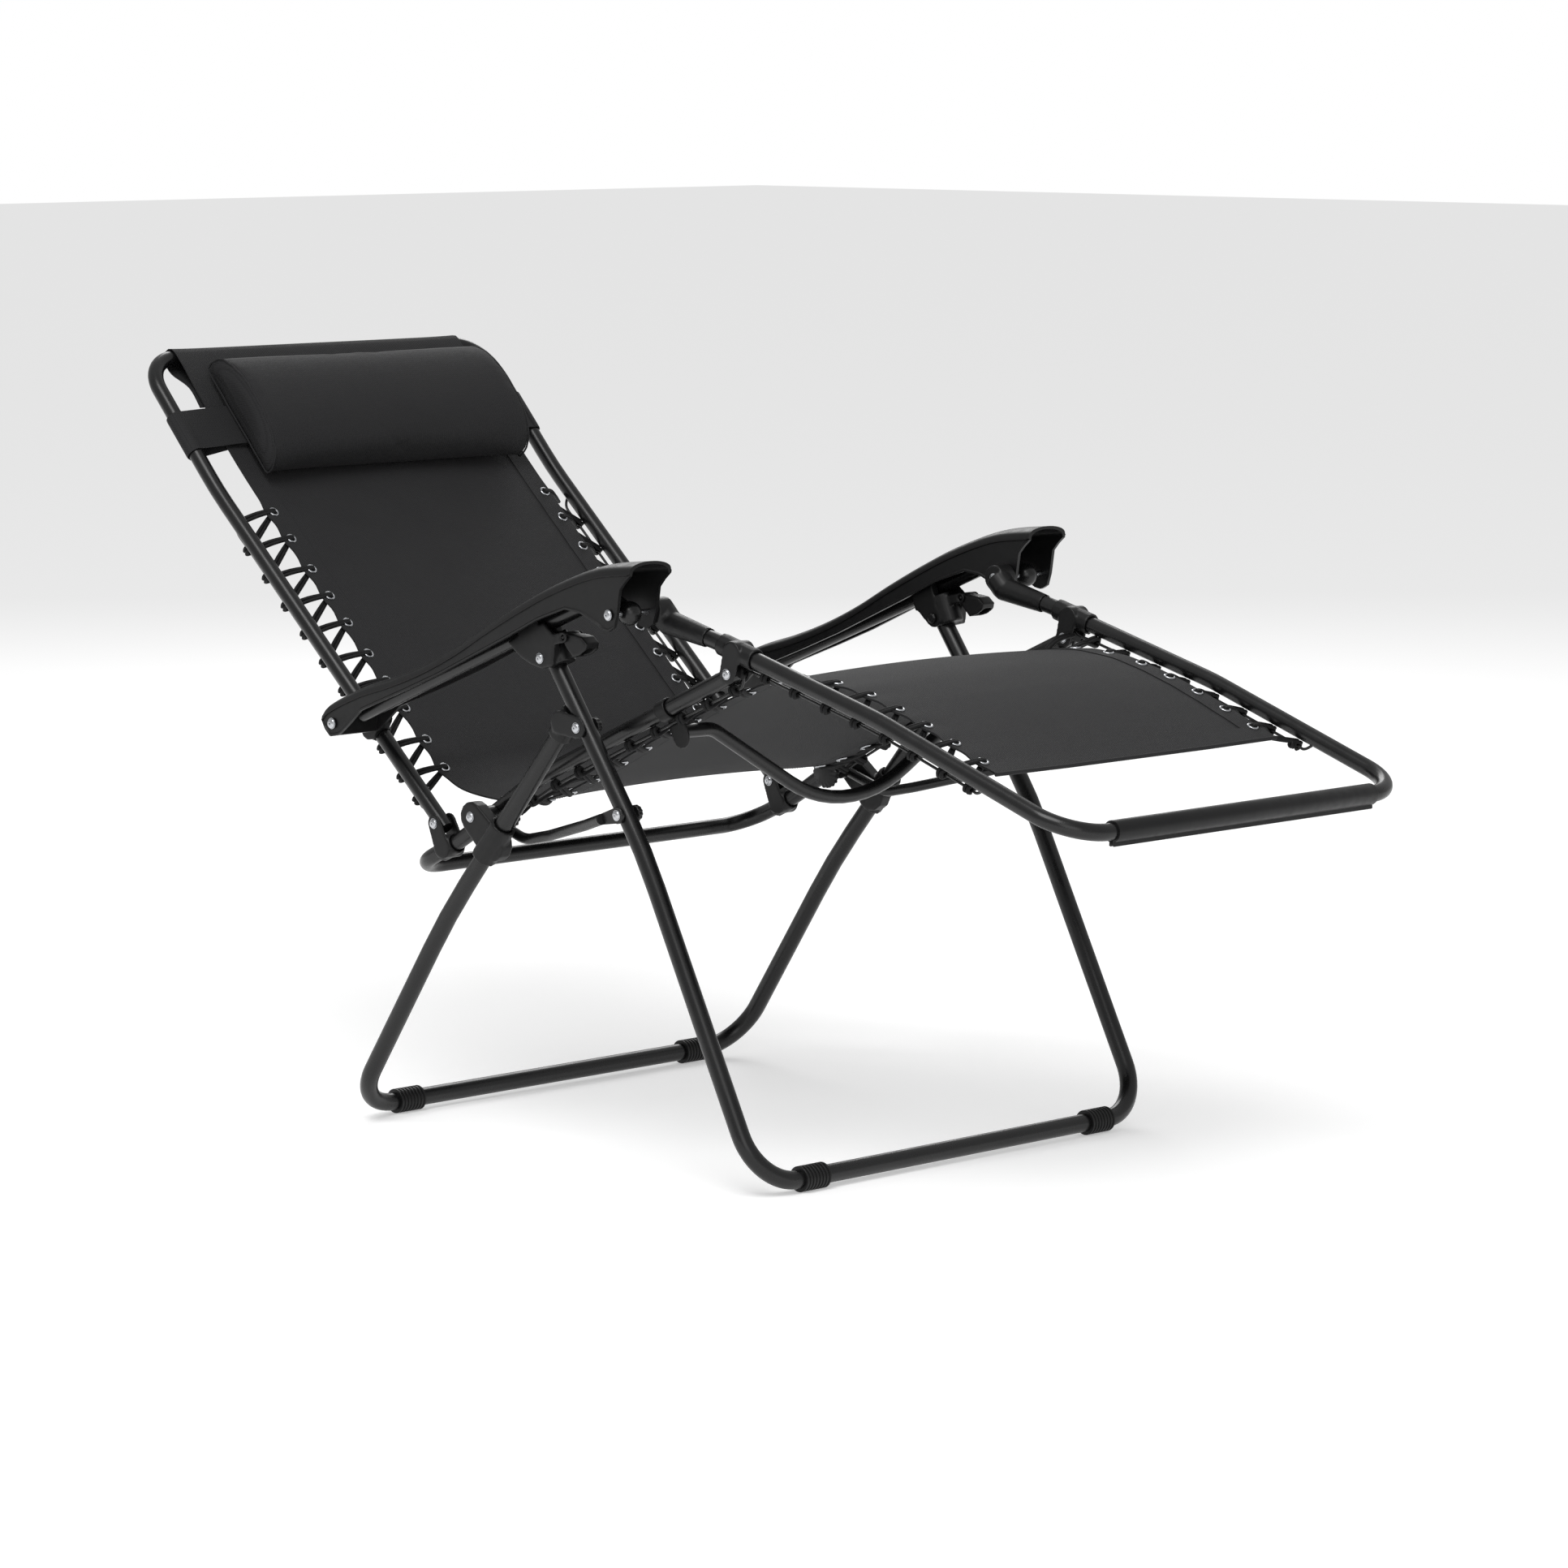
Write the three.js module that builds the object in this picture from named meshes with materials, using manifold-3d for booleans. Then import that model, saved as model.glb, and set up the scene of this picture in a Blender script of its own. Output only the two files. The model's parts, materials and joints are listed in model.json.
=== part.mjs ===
// Zero gravity recliner: a folding steel-tube lounge chair with a laced fabric sling.
// Units are millimetres.  X runs across the chair (the sitter's left is +X), -Y is the
// foot end, +Y the head end, +Z is up and the floor is z = 0.
import * as THREE from 'three';
import * as BufferGeometryUtils from 'three/addons/utils/BufferGeometryUtils.js';
import Module from 'manifold-3d';

const wasm = await Module();
wasm.setup();

// ---------------------------------------------------------------- driving dimensions
const FRAME_X = 262;            // centre plane of the seat, back and leg-rest side tubes
const LEG_X = 303;              // centre plane of the front and rear legs
const ARM_X = 309;              // centre plane of each armrest and its rod
const ARM_HALF_WIDTH = 31;
const FRAME_R = 9;
const LEG_R = 10;
const LINK_R = 6;
const STRETCHER_R = 7.5;
const ROD_R = 9;
const GAP = 0.3;                // running gap between separate pieces
const BOLT_R = 3;
const BOLT_HOLE_R = 3.5;
const BOLT_HEAD_R = 5.2;
const BOLT_HEAD_H = 2.8;
const NUT_CAP_R = 9;
const NUT_CAP_H = 8;
const FLOOR_BAR_Z = 14;         // axis of both floor bars; the foot caps reach the floor
const EYELET_X = 212;           // line of the eyelets along each edge of the sling
const FABRIC_HALF_WIDTH = 206;
const FABRIC_T = 3;
const CORD_R = 2;
const RAIL_R = 1.6;             // wire rail that the lacing hooks on, welded under each side tube
const RAIL_X = 257;
const RAIL_DROP = 15;
const SEAT_BEND_R = 300;

// ---------------------------------------------------------------- pivots, as [y, z]
const LOCK = [-7, 547];         // lock housing on the front leg's top end
const SCISSOR = [-57, 476];     // rear leg on front leg
const LINK_FRONT = [-119, 388]; // link bar on front leg
const SEAT_PIVOT = [125, 362];  // seat frame on slider
const BACK_HINGE = [219, 343];  // back frame on seat frame
const KNEE_HINGE = [-241, 544]; // leg-rest frame on seat frame
const ARM_FRONT = [-131, 603];  // leg-rest frame on armrest
const ARM_REAR = [313, 452];    // armrest on back frame

// ---------------------------------------------------------------- side-view routes, as [y, z]
const FRONT_LEG_TOP = [-3.5, 551.9];
const FRONT_LEG_BEND = [-145, 351];
const FRONT_FOOT = [-316, FLOOR_BAR_Z];
const REAR_LEG_TOP = [-31, 481];
const REAR_LEG_BEND = [165, 249];
const REAR_FOOT = [324, FLOOR_BAR_Z];
const SEAT_FRONT = [-249, 547.6];
const SEAT_BEND = [60, 408];
const SEAT_LOW_BEND = [190, 325];
const SEAT_REAR = [268, 288];
const BACK_LOW = [212.4, 336.9];
const BACK_BEND = [600, 690];
const BACK_TOP = [731, 834];
const LEG_REST_TOP = [-150, 589.3];
const LEG_REST_CRANK = [-213, 576.3];
const LEG_REST_BEND = [-450, 511];
const FOOT_BAR = [-716, 417.5];
const ROD_REAR = [296, 462];
const ROD_BEND = [-96, 620.2];

// ---------------------------------------------------------------- materials
const material = (color, roughness, metalness) =>
  new THREE.MeshStandardMaterial({ color, roughness, metalness });
const PAINTED_STEEL = material(0x161617, 0.45, 0.5);
const PLASTIC = material(0x17181a, 0.5, 0.0);
const CHROME = material(0xb9bcc0, 0.2, 1.0);
const FABRIC = material(0x1c1c1e, 0.85, 0.0);
const CORD = material(0x101011, 0.7, 0.0);

// ---------------------------------------------------------------- solids and joins
function solid(geometry) {
  const bare = geometry.clone();
  for (const name of Object.keys(bare.attributes)) {
    if (name !== 'position') bare.deleteAttribute(name);
  }
  const merged = BufferGeometryUtils.mergeVertices(bare, 1e-4);
  return new wasm.Manifold(new wasm.Mesh({
    numProp: 3,
    vertProperties: new Float32Array(merged.attributes.position.array),
    triVerts: new Uint32Array(merged.index.array),
  }));
}

function join(...geometries) {
  let body = solid(geometries[0]);
  for (const geometry of geometries.slice(1)) body = body.add(solid(geometry));
  return toGeometry(body);
}

function cut(geometry, ...tools) {
  let body = solid(geometry);
  for (const tool of tools) body = body.subtract(solid(tool));
  return toGeometry(body);
}

const intersect = (a, b) => toGeometry(solid(a).intersect(solid(b)));

function toGeometry(body) {
  const mesh = body.getMesh();
  const geometry = new THREE.BufferGeometry();
  const positions = new Float32Array(mesh.numVert * 3);
  for (let i = 0; i < mesh.numVert; i += 1) {
    for (let k = 0; k < 3; k += 1) positions[3 * i + k] = mesh.vertProperties[mesh.numProp * i + k];
  }
  geometry.setAttribute('position', new THREE.BufferAttribute(positions, 3));
  geometry.setIndex(new THREE.BufferAttribute(new Uint32Array(mesh.triVerts), 1));
  return geometry;
}

function mirrored(geometry) {
  const copy = geometry.clone();
  copy.applyMatrix4(new THREE.Matrix4().makeScale(-1, 1, 1));
  const index = copy.index.array;
  for (let i = 0; i < index.length; i += 3) {
    [index[i], index[i + 1]] = [index[i + 1], index[i]];
  }
  return copy;
}

// ---------------------------------------------------------------- tubes
// A path that steps exactly on its knots, so straight runs cost one step each.
class KnotPath extends THREE.Curve {
  constructor(knots) {
    super();
    this.knots = knots;
  }

  getUtoTmapping(u) {
    return u;
  }

  locate(t) {
    const last = this.knots.length - 1;
    const i = Math.min(Math.floor(t * last + 1e-9), last - 1);
    return [i, t * last - i];
  }

  getPoint(t, target = new THREE.Vector3()) {
    const [i, f] = this.locate(t);
    return target.lerpVectors(this.knots[i].point, this.knots[i + 1].point, f);
  }

  getTangent(t, target = new THREE.Vector3()) {
    const [i, f] = this.locate(t);
    return target.lerpVectors(this.knots[i].tangent, this.knots[i + 1].tangent, f).normalize();
  }
}

// Straight runs joined by round bends: corners is a list of points, radii holds one
// bend radius for each inner corner.
function bentPath(corners, radii, stepDegrees = 18) {
  const knots = [];
  const add = (point, tangent) => knots.push({ point: point.clone(), tangent: tangent.clone() });
  const direction = (a, b) => b.clone().sub(a).normalize();
  add(corners[0], direction(corners[0], corners[1]));
  for (let i = 1; i < corners.length - 1; i += 1) {
    const before = direction(corners[i - 1], corners[i]);
    const after = direction(corners[i], corners[i + 1]);
    const turn = before.angleTo(after);
    const reach = radii[i - 1] * Math.tan(turn / 2);
    const start = corners[i].clone().addScaledVector(before, -reach);
    const inward = after.clone().addScaledVector(before, -after.dot(before)).normalize();
    const centre = start.clone().addScaledVector(inward, radii[i - 1]);
    const steps = Math.max(2, Math.ceil(THREE.MathUtils.radToDeg(turn) / stepDegrees));
    for (let k = 0; k <= steps; k += 1) {
      const angle = (turn * k) / steps;
      const point = centre.clone()
        .addScaledVector(inward, -radii[i - 1] * Math.cos(angle))
        .addScaledVector(before, radii[i - 1] * Math.sin(angle));
      const tangent = before.clone().multiplyScalar(Math.cos(angle))
        .addScaledVector(inward, Math.sin(angle));
      add(point, tangent);
    }
  }
  const last = corners.length - 1;
  add(corners[last], direction(corners[last - 1], corners[last]));
  return new KnotPath(knots);
}

function sweep(path, radius, sides) {
  const section = new THREE.Shape();
  section.absarc(0, 0, radius, 0, 2 * Math.PI);
  return new THREE.ExtrudeGeometry(section, {
    steps: path.knots.length - 1,
    curveSegments: sides / 2,
    extrudePath: path,
    bevelEnabled: false,
  });
}

// A closed body through a row of rings; the outline is the shape of one ring.
function loft(rings, outline) {
  const count = outline.length;
  const last = count * (rings.length - 1);
  const index = [];
  for (let i = 0; i < last; i += count) {
    for (let k = 0; k < count; k += 1) {
      const next = (k + 1) % count;
      index.push(i + k, i + count + next, i + next, i + k, i + count + k, i + count + next);
    }
  }
  for (const [a, b, c] of THREE.ShapeUtils.triangulateShape(outline, [])) {
    index.push(c, b, a, last + a, last + b, last + c);
  }
  const geometry = new THREE.BufferGeometry();
  geometry.setAttribute('position', new THREE.Float32BufferAttribute(
    rings.flat().flatMap((p) => p.toArray()), 3));
  geometry.setIndex(index);
  return geometry;
}

// The radius of a faceted bore that clears a round piece of radius r by the usual gap.
const boreRadius = (r, sides, gap = GAP) => (r + gap) / Math.cos(Math.PI / sides);

const at = (x, yz) => new THREE.Vector3(x, yz[0], yz[1]);

function tube(corners, radii, radius, sides = 12) {
  return sweep(bentPath(corners, radii), radius, sides);
}

// A U frame: one side route, its floor, foot or head bar, and the mirrored side route.
function uFrame(x, route, radii, cornerRadius, radius) {
  const down = route.map((yz) => at(-x, yz));
  const up = route.slice().reverse().map((yz) => at(x, yz));
  const bends = [...radii, cornerRadius, cornerRadius, ...radii.slice().reverse()];
  return tube([...down, ...up], bends, radius);
}

// ---------------------------------------------------------------- small shapes
// A cylinder along X between two x values, at side-view point yz.
function crossPin(x0, x1, yz, radius, sides = 14) {
  const pin = new THREE.CylinderGeometry(radius, radius, Math.abs(x1 - x0), sides);
  pin.rotateZ(Math.PI / 2);
  pin.translate((x0 + x1) / 2, yz[0], yz[1]);
  return pin;
}

// A rod between two side-view points in one x plane.
function inPlaneRod(x, from, to, radius, sides = 16) {
  return sweep(bentPath([at(x, from), at(x, to)], []), radius, sides);
}

// A side-view outline given as [y, z] points, as a plate between two x values.
function taperedRod(x, from, to, fromRadius, toRadius, sides) {
  const a = at(x, from);
  const b = at(x, to);
  const rod = new THREE.CylinderGeometry(toRadius, fromRadius, a.distanceTo(b), sides);
  const heading = b.clone().sub(a).normalize();
  const turn = new THREE.Quaternion().setFromUnitVectors(new THREE.Vector3(0, 1, 0), heading);
  rod.applyQuaternion(turn);
  const middle = a.add(b).multiplyScalar(0.5);
  rod.translate(middle.x, middle.y, middle.z);
  return rod;
}

function sidePlate(outline, x0, x1) {
  const shape = new THREE.Shape(outline.map(([y, z]) => new THREE.Vector2(y, z)));
  const plate = new THREE.ExtrudeGeometry(shape, { depth: Math.abs(x1 - x0), bevelEnabled: false });
  plate.applyMatrix4(new THREE.Matrix4().set(0, 0, 1, 0, 1, 0, 0, 0, 0, 1, 0, 0, 0, 0, 0, 1));
  plate.translate(Math.min(x0, x1), 0, 0);
  return plate;
}

// The outline of two circles wrapped by a tight band.
function lugOutline(a, ra, b, rb, steps = 6) {
  const axis = Math.atan2(b[1] - a[1], b[0] - a[0]);
  const reach = Math.hypot(b[0] - a[0], b[1] - a[1]);
  const tilt = Math.acos((ra - rb) / reach);
  const points = [];
  for (let k = 0; k <= steps; k += 1) {
    const angle = axis + tilt + ((2 * Math.PI - 2 * tilt) * k) / steps;
    points.push([a[0] + ra * Math.cos(angle), a[1] + ra * Math.sin(angle)]);
  }
  for (let k = 0; k <= steps; k += 1) {
    const angle = axis - tilt + (2 * tilt * k) / steps;
    points.push([b[0] + rb * Math.cos(angle), b[1] + rb * Math.sin(angle)]);
  }
  return points;
}

const lug = (a, ra, b, rb, x0, x1) => sidePlate(lugOutline(a, ra, b, rb), x0, x1);

const along = (from, to, distance) => {
  const reach = Math.hypot(to[0] - from[0], to[1] - from[1]);
  return [from[0] + ((to[0] - from[0]) * distance) / reach,
    from[1] + ((to[1] - from[1]) * distance) / reach];
};

// The point of a side-view line through a and b that is nearest to p.
function turned(centre, p, degrees) {
  const w = THREE.MathUtils.degToRad(degrees);
  const d = [p[0] - centre[0], p[1] - centre[1]];
  return [
    centre[0] + d[0] * Math.cos(w) - d[1] * Math.sin(w),
    centre[1] + d[0] * Math.sin(w) + d[1] * Math.cos(w),
  ];
}

function footOn(a, b, p) {
  const d = [b[0] - a[0], b[1] - a[1]];
  const t = ((p[0] - a[0]) * d[0] + (p[1] - a[1]) * d[1]) / (d[0] * d[0] + d[1] * d[1]);
  return [a[0] + t * d[0], a[1] + t * d[1]];
}

// A bolt with its axis along X: domed head outside, capped nut inside.
function boltWithCap(yz, headX, capX, capRadius = NUT_CAP_R, capHeight = NUT_CAP_H) {
  return join(
    domeHead(yz, headX, 1),
    crossPin(capX - 1, headX + 1, yz, BOLT_R, 8),
    crossPin(capX - capHeight, capX, yz, capRadius, 12),
  );
}

// A domed bolt head on the plane x = headX, bulging outwards (+1) or inwards (-1).
function domeHead(yz, headX, outwards) {
  const profile = [
    new THREE.Vector2(0, 0),
    new THREE.Vector2(BOLT_HEAD_R, 0),
    new THREE.Vector2(BOLT_HEAD_R, 1),
    new THREE.Vector2(BOLT_HEAD_R * 0.6, BOLT_HEAD_H),
    new THREE.Vector2(0, BOLT_HEAD_H),
  ];
  const head = new THREE.LatheGeometry(profile, 10);
  head.rotateZ(outwards > 0 ? -Math.PI / 2 : Math.PI / 2);
  head.translate(headX, yz[0], yz[1]);
  return head;
}

// ---------------------------------------------------------------- assembly helpers
// The foot sleeve is thicker than the fabric sleeve round the top bar by twice this.
const SLEEVE_DIFFERENCE = 0.2;
const CENTRE_Y = -(FOOT_BAR[0] + BACK_TOP[0]) / 2 + SLEEVE_DIFFERENCE;
const recliner = new THREE.Group();
recliner.name = 'zero_gravity_recliner';

function piece(name, geometry, look) {
  const flat = geometry.index ? geometry.toNonIndexed() : geometry;
  flat.translate(0, CENTRE_Y, 0);
  flat.computeVertexNormals();
  const mesh = new THREE.Mesh(flat, look);
  mesh.name = name;
  recliner.add(mesh);
}

// A piece that both sides have; the geometry is given for the left side (+X).
function pair(name, geometry, look) {
  const left = geometry.index ? geometry : BufferGeometryUtils.mergeVertices(geometry);
  piece(`${name}_left`, left, look);
  piece(`${name}_right`, mirrored(left), look);
}

// The upward normal of a side-view direction.
const upFrom = (t) => (t[0] > 0 ? [-t[1], t[0]] : [t[1], -t[0]]);

// Wire rails under both side tubes; their ends bend into the tube.
function withRails(frame, tubeLine, first, last) {
  const ends = [first, last].map((p) => footOn(...nearestSegment(tubeLine, p), p));
  const reach = Math.hypot(ends[1][0] - ends[0][0], ends[1][1] - ends[0][1]);
  const t = [(ends[1][0] - ends[0][0]) / reach, (ends[1][1] - ends[0][1]) / reach];
  const up = upFrom(t);
  const below = (p, s) => at(RAIL_X,
    [p[0] + t[0] * s - up[0] * RAIL_DROP, p[1] + t[1] * s - up[1] * RAIL_DROP]);
  const bends = tubeLine.filter((p) => {
    const s = (p[0] - ends[0][0]) * t[0] + (p[1] - ends[0][1]) * t[1];
    return s > 30 && s < reach - 30;
  });
  const route = [
    at(FRAME_X, ends[0]),
    below(ends[0], 9),
    ...bends.map((p) => below(p, 0)),
    below(ends[1], -9),
    at(FRAME_X, ends[1]),
  ];
  const radii = [8, ...bends.map(() => SEAT_BEND_R), 8];
  const rail = BufferGeometryUtils.mergeVertices(sweep(bentPath(route, radii, 30), RAIL_R, 6));
  return join(frame, rail, mirrored(rail));
}

// ---------------------------------------------------------------- folding base
const BASE_BEND_R = 58;
const FRONT_LEG_BEND_R = 600;
const REAR_LEG_BEND_R = 900;
const CAP_SIDES = 12;
const CAP_R = FLOOR_BAR_Z / Math.cos(Math.PI / CAP_SIDES);
const CAP_INNER_X = 207;
const CAP_OUTER_X = 243;
const INNER_LEG_FACE = LEG_X - LEG_R;
const EAR_IN = LEG_X + LEG_R + 0.6;
const EAR_T = 4;
const EAR_OUT = EAR_IN + EAR_T;

function frontLegFrame() {
  const route = [FRONT_LEG_TOP, FRONT_LEG_BEND, FRONT_FOOT];
  const frame = uFrame(LEG_X, route, [FRONT_LEG_BEND_R], BASE_BEND_R, LEG_R);
  const holes = [];
  for (const side of [-1, 1]) {
    for (const pivot of [LOCK, SCISSOR, LINK_FRONT]) {
      holes.push(crossPin(side * (LEG_X - 20), side * (LEG_X + 20), pivot, BOLT_HOLE_R, 8));
    }
  }
  return cut(frame, ...holes);
}

function rearLegFrame() {
  return uFrame(LEG_X, [REAR_LEG_TOP, REAR_LEG_BEND, REAR_FOOT], [REAR_LEG_BEND_R], BASE_BEND_R, LEG_R);
}

// A ribbed sleeve round a floor bar, just inside the bar's bend; one flat side stands
// on the floor.
function footCap(y) {
  const ribs = 2;
  const pitch = (CAP_OUTER_X - CAP_INNER_X) / (2 * ribs + 1);
  const bore = boreRadius(LEG_R, CAP_SIDES);
  const profile = [new THREE.Vector2(bore, 0)];
  for (let i = 0; i <= 2 * ribs; i += 1) {
    const r = i % 2 === 0 ? CAP_R : CAP_R - 1.2;
    profile.push(new THREE.Vector2(r, i * pitch));
    profile.push(new THREE.Vector2(r, (i + 1) * pitch));
  }
  profile.push(new THREE.Vector2(bore, (2 * ribs + 1) * pitch));
  profile.push(profile[0].clone());
  const cap = new THREE.LatheGeometry(profile, CAP_SIDES);
  cap.rotateY(Math.PI / CAP_SIDES);
  cap.rotateZ(-Math.PI / 2);
  cap.translate(CAP_INNER_X, y, FLOOR_BAR_Z);
  return cap;
}

// Plastic end of the rear leg: a closed socket with an ear on the outer face of the
// front leg.
function rearLegEnd() {
  const axisEnd = along(REAR_LEG_TOP, REAR_LEG_BEND, 24);
  const socketTop = along(REAR_LEG_TOP, REAR_LEG_BEND, -12);
  const socket = inPlaneRod(LEG_X, axisEnd, socketTop, LEG_R + 3.8, 12);
  const ear = lug(SCISSOR, 12, along(REAR_LEG_TOP, REAR_LEG_BEND, 2), 13, EAR_IN, EAR_OUT);
  const tubeEnd = inPlaneRod(LEG_X, REAR_LEG_TOP, along(REAR_LEG_TOP, REAR_LEG_BEND, 40),
    boreRadius(LEG_R, 12), 12);
  const hole = crossPin(LEG_X, LEG_X + 30, SCISSOR, BOLT_HOLE_R, 8);
  const frontLegSpace = inPlaneRod(LEG_X, FRONT_LEG_TOP, FRONT_LEG_BEND, LEG_R + 0.9, 12);
  return cut(join(socket, ear), tubeEnd, hole, frontLegSpace);
}

// Sleeve that slides on the rear leg, with the ear that carries the seat frame.
const SLIDER_EAR_IN = LEG_X - 14;
function sliderSleeve() {
  const foot = footOn(REAR_LEG_TOP, REAR_LEG_BEND, SEAT_PIVOT);
  const top = along(foot, REAR_LEG_TOP, 30);
  const bottom = along(foot, REAR_LEG_BEND, 20);
  const sleeve = inPlaneRod(LEG_X, top, bottom, LEG_R + 4.6, 12);
  const ear = lug(SEAT_PIVOT, 17, foot, 19, SLIDER_EAR_IN, LEG_X + 2);
  const bore = inPlaneRod(LEG_X, along(top, bottom, -15), along(bottom, top, -15),
    boreRadius(LEG_R, 12, 0.4), 12);
  const hole = crossPin(SLIDER_EAR_IN - 10, LEG_X + 20, SEAT_PIVOT, BOLT_HOLE_R, 8);
  return cut(join(sleeve, ear), bore, hole);
}

// Link bar between the front leg and the seat pivot; it crosses from the outer face of
// the front leg to the inner side of the rear leg.
const LINK_X = 281.5;
function linkBar() {
  const shoulder = [-97, 382];
  const path = [
    at(EAR_IN + LINK_R - 1, shoulder),
    at(EAR_IN - 6, [-60, 371]),
    at(LINK_X + 3, [20, 350]),
    at(LINK_X, [62, 341]),
    at(LINK_X, along(SEAT_PIVOT, [95, 350], 4)),
  ];
  const bar = tube(path, [60, 60, 40, 24], LINK_R, 12);
  const frontEye = lug(LINK_FRONT, 9, [-96, 381.8], 6.4, EAR_IN, EAR_OUT);
  const rearEye = crossPin(FRAME_X + FRAME_R + 0.6, SLIDER_EAR_IN - 0.6, SEAT_PIVOT, 10, 14);
  return cut(
    join(bar, frontEye, rearEye),
    crossPin(LEG_X, LEG_X + 40, LINK_FRONT, BOLT_HOLE_R, 8),
    crossPin(LINK_X - 20, LINK_X + 20, SEAT_PIVOT, BOLT_HOLE_R, 8),
  );
}

// ---------------------------------------------------------------- lock on the armrest rod
const rodAngle = Math.atan2(ROD_BEND[1] - ROD_REAR[1], ROD_BEND[0] - ROD_REAR[0]);
const GUIDE = footOn(ROD_REAR, ROD_BEND, [12, 576.7]);
const rodFrame = (s, n) => [
  GUIDE[0] + s * Math.cos(rodAngle) + n * Math.sin(rodAngle),
  GUIDE[1] + s * Math.sin(rodAngle) - n * Math.cos(rodAngle),
];
const GUIDE_HALF_LENGTH = 17;
const GUIDE_TOP = 8;
const GUIDE_BOTTOM = -19;
const GUIDE_FLOOR = -15.5;
const FOLD_CLEARANCE = 11;
const LOCK_IN = LEG_X - LEG_R - 4.6;
const LOCK_OUT = ARM_X + 14;
const SLOT_HALF_LENGTH = 62;
const LEVER_PIVOT = rodFrame(48, -24.5);
const LEVER_EAR_IN = 10.6;
const LEVER_EAR_OUT = 13.6;
const BARREL_TOP = [-9, 573];
const BARREL_FOOT = [-23, 541];
const BARREL_R = 14;
const FAN = [
  [-26, 540], [-9, 536], [8, 539.5], [22, 545], [34, 552.5], [44, 561], [20, 574], [-12, 586], [-30, 572],
];

// Housing on the front leg's top end: a guide for the rod, a barrel over the leg's end and
// a fan-shaped cheek on each side of the leg.
function lockHousing() {
  const box = (halfS, low, high) => [rodFrame(-halfS, low), rodFrame(-halfS, high),
    rodFrame(halfS, high), rodFrame(halfS, low)];
  const guide = sidePlate(box(GUIDE_HALF_LENGTH, GUIDE_BOTTOM, GUIDE_TOP), LOCK_IN, LOCK_OUT);
  const slot = sidePlate(box(SLOT_HALF_LENGTH, GUIDE_FLOOR, GUIDE_TOP + 30),
    ARM_X - ROD_R - 1, ARM_X + ROD_R + 1);
  const leverEar = lugOutline(LEVER_PIVOT, 6, rodFrame(GUIDE_HALF_LENGTH - 1, -19), 6);
  const leverEars = [[-LEVER_EAR_OUT, -LEVER_EAR_IN], [LEVER_EAR_IN, LEVER_EAR_OUT]].map(([x0, x1]) =>
    sidePlate(leverEar, ARM_X + x0, ARM_X + x1));
  const innerCheek = sidePlate(lugOutline(LOCK, 11, rodFrame(-3, -8), 15), LOCK_IN, LOCK_IN + EAR_T);
  const outerCheek = sidePlate(FAN, EAR_IN, LOCK_OUT);
  const barrel = inPlaneRod(LEG_X, BARREL_TOP, BARREL_FOOT, BARREL_R, 16);
  const spaceForLeg = [0, FOLD_CLEARANCE / 2, FOLD_CLEARANCE].map((turn) => {
    const foot = turned(LOCK, along(LOCK, FRONT_LEG_BEND, 60), turn);
    const top = turned(LOCK, along(LOCK, FRONT_LEG_BEND, -12.5), turn);
    return inPlaneRod(LEG_X, foot, top, LEG_R + 0.8, 12);
  });
  return cut(
    join(guide, innerCheek, outerCheek, barrel, ...leverEars),
    slot,
    ...spaceForLeg,
    crossPin(ARM_X - 20, ARM_X + 20, LEVER_PIVOT, 3, 8),
    crossPin(LOCK_IN - 10, LOCK_OUT + 10, LOCK, BOLT_HOLE_R, 8),
  );
}

// Thumb lever of the lock, hinged between two ears in front of the guide.
const PADDLE = [
  [-40, 575.5], [-54, 575.5], [-66, 574], [-75, 567], [-73, 560],
  [-64, 554], [-54, 551], [-44, 560], [-38, 568],
];
function lockLever() {
  const half = LEVER_EAR_IN - 0.5;
  const hub = crossPin(ARM_X - half, ARM_X + half, LEVER_PIVOT, 6, 12);
  const pin = crossPin(ARM_X - LEVER_EAR_OUT, ARM_X + LEVER_EAR_OUT, LEVER_PIVOT, 2.4, 8);
  const hollow = PADDLE.map(([y, z]) => [-60 + (y + 57) * 0.75, 562 + (z - 566) * 0.75]);
  const plate = sidePlate(PADDLE, ARM_X - half, ARM_X + half);
  return join(cut(plate, sidePlate(hollow, ARM_X - 7, ARM_X + 7)), hub, pin);
}

// ---------------------------------------------------------------- armrest
const SHELL_T = 3.2;
const CROWN = 9;
const SKIRT = 95;
const CROWN_STEPS = 6;
const ARM_STATIONS = 18;
const ARM_TOP_LINE = [
  [331, 455], [318, 466], [270, 486], [216, 502], [163, 521], [110, 545],
  [58, 573], [6, 599], [-46, 622], [-107, 642], [-162, 649],
];
const ARM_LOWER_EDGE = [
  [-163, 646], [-155, 639], [-147, 630], [-144, 617], [-143, 601], [-138, 589], [-129, 585],
  [-118, 587], [-101, 595], [-80, 603], [-58, 604], [-20, 590], [32, 566], [84, 543], [136, 520],
  [189, 499], [266, 470], [288, 451], [304, 440], [318, 437], [326, 444], [332, 456],
];
const ROD_SPACE_END = 303;

// A solid with straight flanks and an arched top that follows the armrest's top line.
function archedBar(inset) {
  const half = ARM_HALF_WIDTH - inset;
  const section = [new THREE.Vector2(-half, -SKIRT)];
  for (let k = 0; k <= CROWN_STEPS; k += 1) {
    const angle = Math.PI * (1 - k / CROWN_STEPS);
    const rise = (CROWN + 2) * Math.sin(angle) - (inset === 0 ? 0 : inset + 0.8);
    section.push(new THREE.Vector2(half * Math.cos(angle), rise));
  }
  section.push(new THREE.Vector2(half, -SKIRT));
  const line = new THREE.SplineCurve(ARM_TOP_LINE.map(([y, z]) => new THREE.Vector2(y, z)));
  const rings = line.getSpacedPoints(ARM_STATIONS).map((p) =>
    section.map((q) => new THREE.Vector3(ARM_X + q.x, p.x, p.y + q.y)));
  return loft(rings, section);
}

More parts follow.
